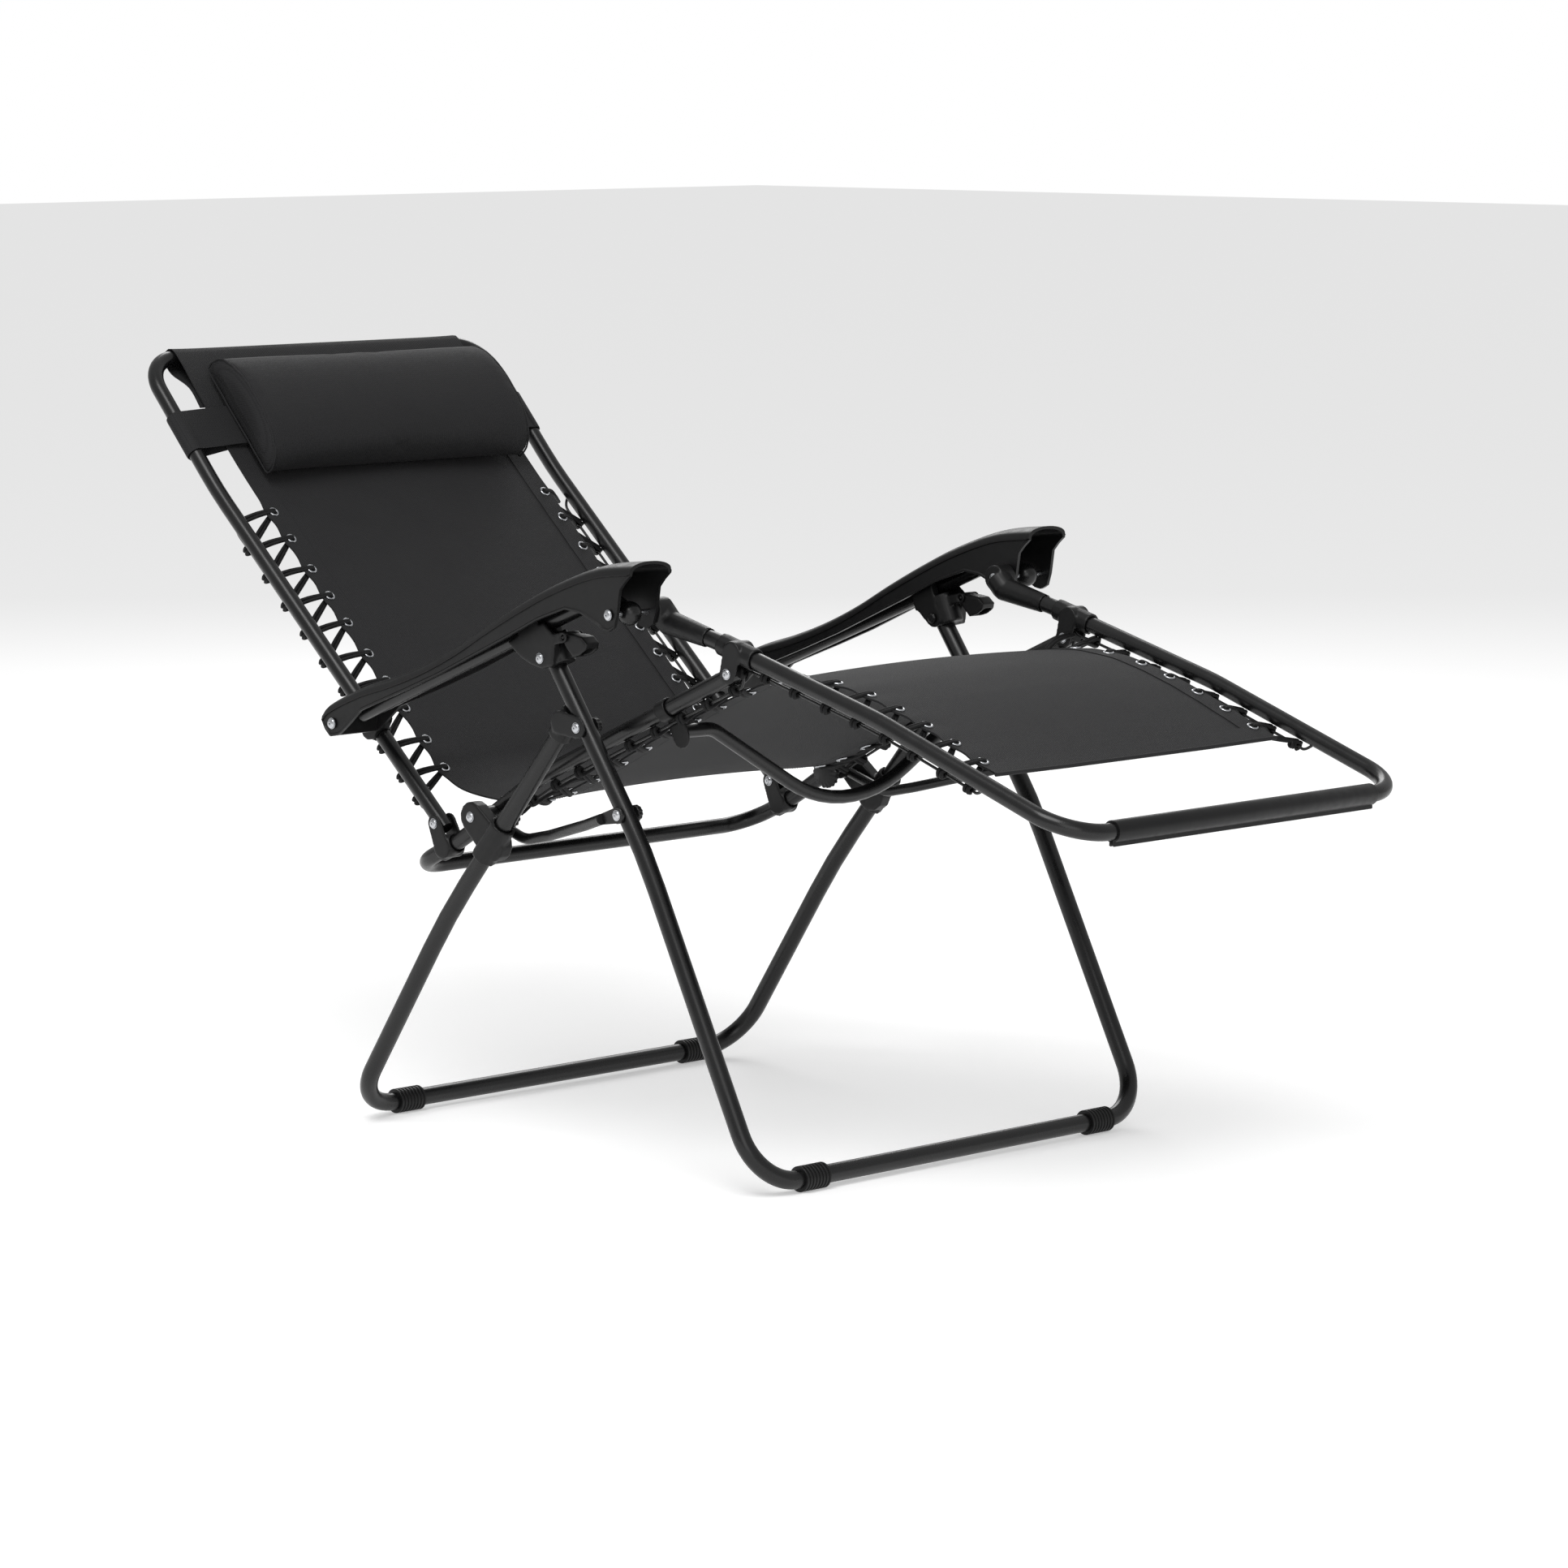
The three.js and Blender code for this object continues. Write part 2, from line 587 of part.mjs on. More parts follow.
function armrestShell() {
  const trim = sidePlate([[340, 540], [-170, 700], ...ARM_LOWER_EDGE], ARM_X - 40, ARM_X + 40);
  const rodSpace = sidePlate([[ROD_SPACE_END, 380], [ROD_SPACE_END, 700], [-180, 700], [-180, 380]],
    ARM_X - 40, ARM_X + 40);
  const holes = [ARM_FRONT, ARM_REAR].map((pivot) =>
    crossPin(ARM_X - 40, ARM_X + 40, pivot, BOLT_HOLE_R, 8));
  return cut(
    intersect(archedBar(0), trim),
    intersect(archedBar(SHELL_T), rodSpace),
    ...holes,
  );
}

function armrestRod() {
  const rod = tube([at(ARM_X, ROD_REAR), at(ARM_X, ROD_BEND), at(ARM_X, along(ARM_FRONT, ROD_BEND, 4))],
    [36], ROD_R, 14);
  const knuckle = new THREE.SphereGeometry(13, 14, 10);
  knuckle.translate(ARM_X, ARM_FRONT[0], ARM_FRONT[1]);
  return cut(join(rod, knuckle), crossPin(ARM_X - 30, ARM_X + 30, ARM_FRONT, BOLT_HOLE_R, 8));
}

const ARM_FACE = ARM_X + ARM_HALF_WIDTH + GAP;
const armrestBolt = (yz, innerX) => join(
  domeHead(yz, ARM_FACE, 1),
  crossPin(innerX, ARM_FACE + 1, yz, BOLT_R, 8),
);

// ---------------------------------------------------------------- seat frame and its fittings
const CLIP_R = FRAME_R + 3.2;
const FORK_IN = FRAME_R + 0.6;
const FORK_T = 3;
const TUBE_END_REACH = 13.3;

const SEAT_LOW_BEND_R = 250;
const SEAT_CORNER_R = 42;
const SEAT_SIDE = [SEAT_FRONT, SEAT_BEND, SEAT_LOW_BEND];
function seatFrame() {
  const frame = uFrame(FRAME_X, [SEAT_FRONT, SEAT_BEND, SEAT_LOW_BEND, SEAT_REAR],
    [SEAT_BEND_R, SEAT_LOW_BEND_R], SEAT_CORNER_R, FRAME_R);
  const holes = [];
  for (const side of [-1, 1]) {
    for (const pivot of [SEAT_PIVOT, KNEE_HINGE]) {
      holes.push(crossPin(side * (FRAME_X - 20), side * (FRAME_X + 20), pivot, BOLT_HOLE_R, 8));
    }
  }
  return cut(withRails(frame, SEAT_SIDE, [113, 371], [-211, 519]), ...holes);
}

// A clip round a side tube with a two-eared fork reaching to a pivot.
function forkClip(tubeFrom, tubeTo, pivot, halfLength, earR) {
  const foot = footOn(tubeFrom, tubeTo, pivot);
  const from = along(foot, tubeFrom, halfLength);
  const to = along(foot, tubeTo, halfLength);
  const wrap = inPlaneRod(FRAME_X, from, to, CLIP_R, 12);
  const fork = sidePlate(lugOutline(pivot, earR, foot, CLIP_R, 9),
    FRAME_X - FORK_IN - FORK_T, FRAME_X + FORK_IN + FORK_T);
  const forkGap = crossPin(FRAME_X - FORK_IN, FRAME_X + FORK_IN, pivot, 21, 20);
  const tubeSpace = inPlaneRod(FRAME_X, along(foot, tubeFrom, halfLength + 20),
    along(foot, tubeTo, halfLength + 20), boreRadius(FRAME_R, 14), 14);
  const hole = crossPin(FRAME_X - 30, FRAME_X + 30, pivot, BOLT_HOLE_R, 8);
  const tubeEndSpace = crossPin(FRAME_X - FORK_IN, FRAME_X + FORK_IN, pivot, TUBE_END_REACH, 20);
  return cut(join(cut(fork, forkGap), wrap), tubeSpace, tubeEndSpace, hole);
}

const forkBolt = (pivot) => join(
  domeHead(pivot, FRAME_X + FORK_IN + FORK_T + GAP, 1),
  crossPin(FRAME_X - FORK_IN - FORK_T - 1.3, FRAME_X + FORK_IN + FORK_T + 1.3, pivot, BOLT_R, 8),
  domeHead(pivot, FRAME_X - FORK_IN - FORK_T - GAP, -1),
);

// Dipped cross tube under the seat, with a tab at each end on the side tube.
const STRETCHER_Y = -151;
const TAB_HOLE = [STRETCHER_Y, 468];
function seatStretcher() {
  const run = [
    [-(FRAME_X - 12), 475], [-207, 474], [0, 354], [207, 474], [FRAME_X - 12, 475],
  ].map(([x, z]) => new THREE.Vector3(x, STRETCHER_Y, z));
  return tube(run, [40, 180, 40], STRETCHER_R, 12);
}

function stretcherTab() {
  const onTube = footOn(SEAT_FRONT, SEAT_BEND, TAB_HOLE);
  const plate = lug(TAB_HOLE, 12, onTube, CLIP_R, FRAME_X - 11.4, FRAME_X - 8.4);
  const wrap = inPlaneRod(FRAME_X, along(onTube, SEAT_FRONT, 8), along(onTube, SEAT_BEND, 8),
    CLIP_R, 12);
  const tubeSpace = inPlaneRod(FRAME_X, along(onTube, SEAT_FRONT, 30), along(onTube, SEAT_BEND, 30),
    boreRadius(FRAME_R, 12), 12);
  return cut(join(plate, wrap), tubeSpace);
}

// ---------------------------------------------------------------- leg-rest frame
const CRANK_BEND_R = 150;
const LEG_REST_BEND_R = 400;
const LEG_REST_CORNER_R = 55;
const LEG_REST_SIDE = [LEG_REST_CRANK, LEG_REST_BEND, FOOT_BAR];
function legRestFrame() {
  const route = [LEG_REST_TOP, ...LEG_REST_SIDE];
  const frame = uFrame(FRAME_X, route, [CRANK_BEND_R, LEG_REST_BEND_R], LEG_REST_CORNER_R, FRAME_R);
  return withRails(frame, LEG_REST_SIDE, [-282, 540], [-619, 442]);
}

// Plastic end of the leg-rest side tube: a round boss bolted against the armrest's inner
// flank, with a horn that tapers down onto the tube.
const ARM_INNER_FACE = ARM_X - ARM_HALF_WIDTH;
const BOSS_R = 14.5;
const BOSS_IN = FRAME_X - 6;
const HORN_START = [-139, 591.6];
const HORN_LENGTH = 66;
function legRestEnd() {
  const outerX = ARM_INNER_FACE - 0.6;
  const boss = crossPin(BOSS_IN, outerX, ARM_FRONT, BOSS_R, 20);
  const collar = inPlaneRod(FRAME_X, ARM_FRONT, along(HORN_START, LEG_REST_CRANK, 4), BOSS_R, 16);
  const horn = taperedRod(FRAME_X, HORN_START, along(HORN_START, LEG_REST_CRANK, HORN_LENGTH),
    BOSS_R - 0.8, FRAME_R + 1.6, 16);
  const tubeSpace = inPlaneRod(FRAME_X, LEG_REST_TOP, along(LEG_REST_TOP, LEG_REST_CRANK, 90),
    boreRadius(FRAME_R, 12), 12);
  const head = domeHead(ARM_FRONT, BOSS_IN, -1);
  return cut(join(boss, collar, horn, head), tubeSpace);
}

// Split sleeve round the foot bar, with a lip along its underside.
const FOOT_SLEEVE_HALF = 204;
function footSleeve() {
  const bar = sweep(new KnotPath([
    { point: at(-FOOT_SLEEVE_HALF, FOOT_BAR), tangent: new THREE.Vector3(1, 0, 0) },
    { point: at(FOOT_SLEEVE_HALF, FOOT_BAR), tangent: new THREE.Vector3(1, 0, 0) },
  ]), FRAME_R + 2.6, 12);
  const lip = sidePlate([
    [FOOT_BAR[0] - 3, FOOT_BAR[1] - 10], [FOOT_BAR[0] - 1, FOOT_BAR[1] - 15],
    [FOOT_BAR[0] + 3, FOOT_BAR[1] - 15], [FOOT_BAR[0] + 5, FOOT_BAR[1] - 10],
  ], -FOOT_SLEEVE_HALF, FOOT_SLEEVE_HALF);
  const boreHalf = FOOT_SLEEVE_HALF + 10;
  const bore = crossPin(-boreHalf, boreHalf, FOOT_BAR, boreRadius(FRAME_R, 12), 12);
  return cut(join(bar, lip), bore);
}

// ---------------------------------------------------------------- back frame
const BACK_BEND_R = 500;
const BACK_CORNER_R = 46;
function backFrame() {
  const frame = uFrame(FRAME_X, [BACK_LOW, BACK_BEND, BACK_TOP], [BACK_BEND_R], BACK_CORNER_R, FRAME_R);
  const holes = [-1, 1].map((side) =>
    crossPin(side * (FRAME_X - 20), side * (FRAME_X + 20), BACK_HINGE, BOLT_HOLE_R, 8));
  return cut(withRails(frame, [BACK_LOW, BACK_BEND], [240, 367], [572, 671]), ...holes);
}

// Clip on the back tube with the armrest's rear bolt fixed in it.
function armrestClip() {
  const foot = footOn(BACK_LOW, BACK_BEND, ARM_REAR);
  const wrap = inPlaneRod(FRAME_X, along(foot, BACK_LOW, 9), along(foot, BACK_BEND, 9), CLIP_R, 12);
  const ear = lug(ARM_REAR, 9.5, foot, CLIP_R, FRAME_X - 4, ARM_INNER_FACE - 0.6);
  const tubeSpace = inPlaneRod(FRAME_X, along(foot, BACK_LOW, 30), along(foot, BACK_BEND, 30),
    boreRadius(FRAME_R, 12), 12);
  return join(cut(join(wrap, ear), tubeSpace), armrestBolt(ARM_REAR, ARM_INNER_FACE - 2));
}

// ---------------------------------------------------------------- sling
// A thin slab that follows a side-view line, FABRIC_T thick.
function sling(line) {
  const half = FABRIC_T / 2;
  const upper = [];
  const lower = [];
  line.forEach((p, i) => {
    const a = line[Math.max(i - 1, 0)];
    const b = line[Math.min(i + 1, line.length - 1)];
    const reach = Math.hypot(b[0] - a[0], b[1] - a[1]);
    const n = [-(b[1] - a[1]) / reach, (b[0] - a[0]) / reach];
    upper.push([p[0] + half * n[0], p[1] + half * n[1]]);
    lower.push([p[0] - half * n[0], p[1] - half * n[1]]);
  });
  return sidePlate([...upper, ...lower.reverse()], -FABRIC_HALF_WIDTH, FABRIC_HALF_WIDTH);
}

const BACK_LINE = [[723, 829], [600, 700], [430, 541], [300, 421], [272, 394], [248, 379], [228, 374]];
const SEAT_LINE = [[213, 371.5], [180, 367.5], [140, 368], [100, 374], [60, 387], [23, 404], [-54, 444],
  [-130, 481], [-213, 517]];
const LEG_LINE = [[-220, 519.5], [-252, 531], [-290, 537], [-337, 536], [-387, 528], [-466, 504],
  [-571, 463]];

// The back panel ends in a sleeve round the top bar.
function backFabric() {
  const sleeve = crossPin(-FABRIC_HALF_WIDTH, FABRIC_HALF_WIDTH, BACK_TOP, FRAME_R + 2.2, 12);
  const boreHalf = FABRIC_HALF_WIDTH + 5;
  const bore = crossPin(-boreHalf, boreHalf, BACK_TOP, boreRadius(FRAME_R, 12), 12);
  return cut(join(sling(BACK_LINE), sleeve), bore);
}

// ---------------------------------------------------------------- elastic lacing
// A cord that runs from eyelet to eyelet and wraps the wire rail between them.
const WRAP_R = RAIL_R + CORD_R + 0.8;
const WRAP_ANGLES = [135, 75, 15, -45, -105];
const WRAP_PITCH = 2.6;
function lacing(tubeLine, eyelets, wrapAt, tails) {
  const points = [];
  eyelets.forEach((eye, i) => {
    points.push(at(EYELET_X, eye));
    if (i === eyelets.length - 1) return;
    const next = eyelets[i + 1];
    const start = footOn(...nearestSegment(tubeLine, eye), eye);
    const end = footOn(...nearestSegment(tubeLine, next), next);
    const pitch = Math.hypot(end[0] - start[0], end[1] - start[1]);
    const t = [(end[0] - start[0]) / pitch, (end[1] - start[1]) / pitch];
    const up = upFrom(t);
    WRAP_ANGLES.forEach((angle, k) => {
      const s = wrapAt * pitch + (k - 2) * WRAP_PITCH;
      const h = WRAP_R * Math.sin(THREE.MathUtils.degToRad(angle)) - RAIL_DROP;
      const x = RAIL_X + WRAP_R * Math.cos(THREE.MathUtils.degToRad(angle));
      points.push(new THREE.Vector3(x, start[0] + t[0] * s + up[0] * h, start[1] + t[1] * s + up[1] * h));
    });
  });
  const tail = (eye, reach) => {
    const [a, b] = nearestSegment(tubeLine, eye);
    const foot = footOn(a, b, eye);
    const span = Math.hypot(b[0] - a[0], b[1] - a[1]);
    const t = [(b[0] - a[0]) / span, (b[1] - a[1]) / span];
    const up = upFrom(t);
    return at(RAIL_X - RAIL_R - CORD_R - GAP,
      [foot[0] + t[0] * reach - up[0] * RAIL_DROP, foot[1] + t[1] * reach - up[1] * RAIL_DROP]);
  };
  points.unshift(tail(eyelets[0], tails[0]));
  points.push(tail(eyelets[eyelets.length - 1], tails[1]));
  const curve = new THREE.CatmullRomCurve3(points, false, 'centripetal');
  const last = points.length - 1;
  const knots = points.map((point, i) => ({ point, tangent: curve.getTangent(i / last) }));
  return sweep(new KnotPath(knots), CORD_R, 4);
}

function nearestSegment(line, p) {
  let best = [line[0], line[1]];
  let bestGap = Infinity;
  for (let i = 0; i < line.length - 1; i += 1) {
    const mid = [(line[i][0] + line[i + 1][0]) / 2, (line[i][1] + line[i + 1][1]) / 2];
    const half = Math.hypot(line[i + 1][0] - line[i][0], line[i + 1][1] - line[i][1]) / 2;
    const gap = Math.hypot(p[0] - mid[0], p[1] - mid[1]) - half;
    if (gap < bestGap) {
      bestGap = gap;
      best = [line[i], line[i + 1]];
    }
  }
  return best;
}

const between = (a, b, count) => Array.from({ length: count }, (unused, i) => [
  a[0] + ((b[0] - a[0]) * i) / (count - 1),
  a[1] + ((b[1] - a[1]) * i) / (count - 1),
]);

const BACK_EYELETS = between([270, 396], [563, 663], 10);
const SEAT_EYELETS = [...between([100, 376], [23, 405], 3), ...between([-15, 424], [-210, 518], 6)];
const LEG_EYELETS = [[-292, 536], [-341, 536], ...between([-387, 530], [-549, 470], 5)];

// ---------------------------------------------------------------- headrest pillow
// A bolster, flat behind and round in front, with a strap loop round each back tube.
const PILLOW_HALF_WIDTH = 198;
const PILLOW_HALF_HEIGHT = 84;
const PILLOW_DEPTH = 54;
const PILLOW_LIFT = 6;
const PILLOW_FULLNESS = 0.8;
function headrest() {
  const centre = [650, 755];
  const tilt = Math.atan2(BACK_TOP[1] - BACK_BEND[1], BACK_TOP[0] - BACK_BEND[0]);
  const place = (s, n) => [
    centre[0] + s * Math.cos(tilt) - n * Math.sin(tilt),
    centre[1] + s * Math.sin(tilt) + n * Math.cos(tilt),
  ];
  const outline = [];
  const steps = 16;
  for (let k = 0; k <= steps; k += 1) {
    const angle = (Math.PI * k) / steps;
    const rise = Math.sin(angle) ** PILLOW_FULLNESS;
    outline.push(place(PILLOW_HALF_HEIGHT * Math.cos(angle), PILLOW_LIFT + PILLOW_DEPTH * rise));
  }
  const bolster = sidePlate(outline, -PILLOW_HALF_WIDTH, PILLOW_HALF_WIDTH);
  const strapHalf = 27;
  const innerR = FRAME_R + 1.2;
  const outerR = FRAME_R + 2.8;
  const straps = [];
  const bores = [];
  for (const side of [-1, 1]) {
    const low = place(-strapHalf, 0);
    const high = place(strapHalf, 0);
    const foot = (p) => footOn(BACK_BEND, BACK_TOP, p);
    straps.push(inPlaneRod(side * FRAME_X, foot(low), foot(high), outerR, 12));
    bores.push(inPlaneRod(side * FRAME_X, along(foot(low), foot(high), -20),
      along(foot(high), foot(low), -20), innerR, 12));
    const band = [[-1, 3.4], [1, 3.4], [1, 6.8], [-1, 6.8]].map(([s, n]) => place(s * strapHalf, n));
    straps.push(sidePlate(band, side * 190, side * FRAME_X));
  }
  return cut(join(bolster, ...straps), ...bores);
}

// ---------------------------------------------------------------- the recliner
piece('front_leg_frame', frontLegFrame(), PAINTED_STEEL);
pair('front_foot_cap', footCap(FRONT_FOOT[0]), PLASTIC);
pair('scissor_bolt', boltWithCap(SCISSOR, EAR_OUT + GAP, INNER_LEG_FACE - GAP), CHROME);
pair('link_bolt', boltWithCap(LINK_FRONT, EAR_OUT + GAP, INNER_LEG_FACE - GAP), CHROME);
pair('lock_bolt', boltWithCap(LOCK, LOCK_OUT + GAP, LOCK_IN - GAP, 6, 4), CHROME);

piece('rear_leg_frame', rearLegFrame(), PAINTED_STEEL);
pair('rear_foot_cap', footCap(REAR_FOOT[0]), PLASTIC);
pair('rear_leg_end', rearLegEnd(), PLASTIC);

pair('slider_sleeve', sliderSleeve(), PLASTIC);
pair('seat_pivot_bolt', boltWithCap(SEAT_PIVOT, LEG_X + 2 + GAP, FRAME_X - FRAME_R - GAP, 19, 9), CHROME);
pair('link_bar', linkBar(), PAINTED_STEEL);

pair('lock_housing', lockHousing(), PLASTIC);
pair('lock_lever', lockLever(), PLASTIC);

piece('seat_frame', seatFrame(), PAINTED_STEEL);
pair('back_hinge_bracket', forkClip(SEAT_LOW_BEND, SEAT_REAR, BACK_HINGE, 14, 10), PLASTIC);
pair('back_hinge_bolt', forkBolt(BACK_HINGE), CHROME);
piece('seat_stretcher', seatStretcher(), PAINTED_STEEL);
pair('stretcher_tab', stretcherTab(), PLASTIC);
piece('seat_fabric', sling(SEAT_LINE), FABRIC);
pair('seat_lacing', lacing(SEAT_SIDE, SEAT_EYELETS, 0.79, [6, -8]), CORD);

piece('leg_rest_frame', legRestFrame(), PAINTED_STEEL);
pair('knee_clamp', forkClip(LEG_REST_CRANK, LEG_REST_BEND, KNEE_HINGE, 26, 11), PLASTIC);
pair('knee_bolt', forkBolt(KNEE_HINGE), CHROME);
pair('leg_rest_end', legRestEnd(), PLASTIC);
piece('foot_sleeve', footSleeve(), PLASTIC);
piece('leg_rest_fabric', sling(LEG_LINE), FABRIC);
pair('leg_rest_lacing', lacing(LEG_REST_SIDE, LEG_EYELETS, 0.25, [-6, 30]), CORD);

piece('back_frame', backFrame(), PAINTED_STEEL);
pair('armrest_clip', armrestClip(), PLASTIC);
piece('back_fabric', backFabric(), FABRIC);
pair('back_lacing', lacing([BACK_LOW, BACK_BEND, BACK_TOP], BACK_EYELETS, 0.06, [-28, 2]), CORD);
piece('headrest_pillow', headrest(), FABRIC);

pair('armrest_shell', armrestShell(), PLASTIC);
pair('armrest_rod', armrestRod(), PAINTED_STEEL);
pair('armrest_front_bolt', armrestBolt(ARM_FRONT, ARM_INNER_FACE + 0.2), CHROME);

export default recliner;
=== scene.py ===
import json
import math

import bmesh
import bpy
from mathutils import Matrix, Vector


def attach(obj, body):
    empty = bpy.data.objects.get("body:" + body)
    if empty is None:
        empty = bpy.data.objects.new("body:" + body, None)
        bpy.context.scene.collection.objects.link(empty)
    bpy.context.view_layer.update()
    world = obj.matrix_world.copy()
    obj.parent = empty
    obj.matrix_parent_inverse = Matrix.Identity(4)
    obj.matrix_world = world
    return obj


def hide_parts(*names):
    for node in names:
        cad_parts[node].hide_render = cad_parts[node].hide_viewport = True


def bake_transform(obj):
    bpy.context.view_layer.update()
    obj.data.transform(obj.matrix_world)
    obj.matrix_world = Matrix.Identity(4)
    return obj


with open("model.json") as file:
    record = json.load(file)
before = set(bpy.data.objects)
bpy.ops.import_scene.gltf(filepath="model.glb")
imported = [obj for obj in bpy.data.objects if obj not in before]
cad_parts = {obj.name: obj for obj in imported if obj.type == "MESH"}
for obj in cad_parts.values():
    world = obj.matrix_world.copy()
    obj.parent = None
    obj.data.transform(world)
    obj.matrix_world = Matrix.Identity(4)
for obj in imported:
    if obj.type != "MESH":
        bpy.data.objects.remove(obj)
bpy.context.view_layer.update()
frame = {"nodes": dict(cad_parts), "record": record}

# Millimetres from here on; make() turns them into metres.  +X is the sitter's left, -Y the
# foot end.  Side-view points are (y, z), counted before the model is centred in y.
MM = 0.001
CENTRE_Y = -7.3
FRAME_X, LEG_X, ARM_X = 262.0, 303.0, 309.0
FRAME_R, LEG_R, LINK_R, STRETCHER_R, ROD_R = 9.0, 10.0, 6.0, 7.5, 9.0
ARM_HALF_WIDTH = 31.0
FLOOR_BAR_Z = 14.0
EYELET_X = 212.0
SLING_HALF_WIDTH = 222.0
CORD_R = 2.2
LOCK, SCISSOR, LINK_FRONT = (-7, 547), (-57, 476), (-119, 388)
SEAT_PIVOT, BACK_HINGE, KNEE_HINGE = (125, 362), (219, 343), (-241, 544)
ARM_FRONT, ARM_REAR = (-131, 603), (313, 452)
FRONT_LEG = [(-3.5, 551.9), (-145, 351), (-316, FLOOR_BAR_Z)]
REAR_LEG = [(-31, 481), (165, 249), (324, FLOOR_BAR_Z)]
SEAT_TUBE = [(-249, 547.6), (60, 408), (190, 325), (268, 288)]
BACK_TUBE = [(212.4, 336.9), (600, 690), (731, 834)]
LEG_REST_TUBE = [(-150, 589.3), (-213, 576.3), (-450, 511), (-716, 417.5)]
ROD = [(296, 462), (-96, 620.2)]
BACK_LINE = [(724, 826), (600, 700), (430, 541), (300, 421), (272, 394), (248, 379), (222, 371.5)]
SEAT_LINE = [(180, 367.5), (140, 368), (100, 374), (60, 387), (23, 404), (-54, 444), (-130, 481)]
LEG_LINE = [(-213, 517), (-252, 531), (-290, 537), (-337, 536), (-387, 528), (-466, 504), (-573, 462)]


# ------------------------------------------------------------------ vectors and routes
def at(x, yz):
    return Vector((x, yz[0] + CENTRE_Y, yz[1]))


def toward(a, b, distance):
    """The side-view point at that distance from a towards b."""
    reach = math.dist(a, b)
    return (a[0] + (b[0] - a[0]) * distance / reach, a[1] + (b[1] - a[1]) * distance / reach)


def foot_on(a, b, p):
    """The side-view point nearest to p on the line through a and b."""
    d = (b[0] - a[0], b[1] - a[1])
    t = ((p[0] - a[0]) * d[0] + (p[1] - a[1]) * d[1]) / (d[0] ** 2 + d[1] ** 2)
    return (a[0] + t * d[0], a[1] + t * d[1])


def bent(corners, radii, step=6.0):
    """Straight runs joined by round bends, as a row of points."""
    points = [corners[0].copy()]
    for i in range(1, len(corners) - 1):
        before = (corners[i] - corners[i - 1]).normalized()
        after = (corners[i + 1] - corners[i]).normalized()
        turn = before.angle(after)
        radius = radii[i - 1]
        start = corners[i] - before * radius * math.tan(turn / 2)
        inward = (after - before * after.dot(before)).normalized()
        centre = start + inward * radius
        steps = max(2, math.ceil(math.degrees(turn) / step))
        for k in range(steps + 1):
            angle = turn * k / steps
            points.append(centre - inward * radius * math.cos(angle)
                          + before * radius * math.sin(angle))
    points.append(corners[-1].copy())
    return points


def smooth_line(points, per_span=6):
    """A Catmull-Rom curve through the points."""
    out = []
    last = len(points) - 1
    for i in range(last):
        p0, p1, p2 = points[max(i - 1, 0)], points[i], points[i + 1]
        p3 = points[min(i + 2, last)]
        for k in range(per_span):
            t = k / per_span
            out.append(0.5 * ((2 * p1) + (p2 - p0) * t + (2 * p0 - 5 * p1 + 4 * p2 - p3) * t * t
                              + (3 * p1 - p0 - 3 * p2 + p3) * t ** 3))
    out.append(points[last].copy())
    return out


def neighbours(row, i):
    """The entries before and after entry i, or the entry itself at either end."""
    return row[max(i - 1, 0)], row[min(i + 1, len(row) - 1)]


def frames_along(points):
    """A tangent and two normals at each point, carried along without twisting."""
    tangents = []
    for i in range(len(points)):
        a, b = neighbours(points, i)
        tangents.append((b - a).normalized())
    side = tangents[0].orthogonal().normalized()
    out = []
    for t in tangents:
        side = (side - t * side.dot(t)).normalized()
        out.append((t, side, t.cross(side)))
    return out


# ------------------------------------------------------------------ meshes
class Build:
    """Vertices and faces gathered for one piece, in millimetres."""

    def __init__(self):
        self.verts, self.faces, self.uvs = [], [], []

    def rings(self, rings):
        """Closed rings of equal length, joined in order, with a face over each end."""
        base, count = len(self.verts), len(rings[0])
        for ring in rings:
            self.verts.extend(ring)
        for i in range(len(rings) - 1):
            for k in range(count):
                a, b = base + i * count + k, base + i * count + (k + 1) % count
                self.faces.append((a, b, b + count, a + count))
        self.faces.append(tuple(reversed(range(base, base + count))))
        end = base + count * (len(rings) - 1)
        self.faces.append(tuple(range(end, end + count)))
        return self

    def tube(self, points, radius, sides):
        rings = []
        for p, (_, a, b) in zip(points, frames_along(points)):
            rings.append([p + (a * math.cos(w) + b * math.sin(w)) * radius
                          for w in (2 * math.pi * k / sides for k in range(sides))])
        return self.rings(rings)

    def lathe(self, profile, origin, axis, sides=32):
        """profile is (radius, distance along axis) from end to end."""
        axis = axis.normalized()
        a = axis.orthogonal().normalized()
        b = axis.cross(a)
        rings = []
        for radius, reach in profile:
            size = max(radius, 0.01)
            rings.append([origin + axis * reach + (a * math.cos(w) + b * math.sin(w)) * size
                          for w in (2 * math.pi * k / sides for k in range(sides))])
        return self.rings(rings)

    def torus(self, centre, axis, major, minor, sides, section):
        axis = axis.normalized()
        a = axis.orthogonal().normalized()
        b = axis.cross(a)
        base = len(self.verts)
        for k in range(sides):
            w = 2 * math.pi * k / sides
            out = a * math.cos(w) + b * math.sin(w)
            for j in range(section):
                v = 2 * math.pi * j / section
                self.verts.append(centre + out * (major + minor * math.cos(v))
                                  + axis * minor * math.sin(v))
        for k in range(sides):
            for j in range(section):
                n = (j + 1) % section
                m = (k + 1) % sides
                self.faces.append((base + k * section + j, base + m * section + j,
                                   base + m * section + n, base + k * section + n))
        return self

    def plate(self, outline, x0, x1):
        """A side-view outline between two x values."""
        self.rings([[at(x0, p) for p in outline], [at(x1, p) for p in outline]])


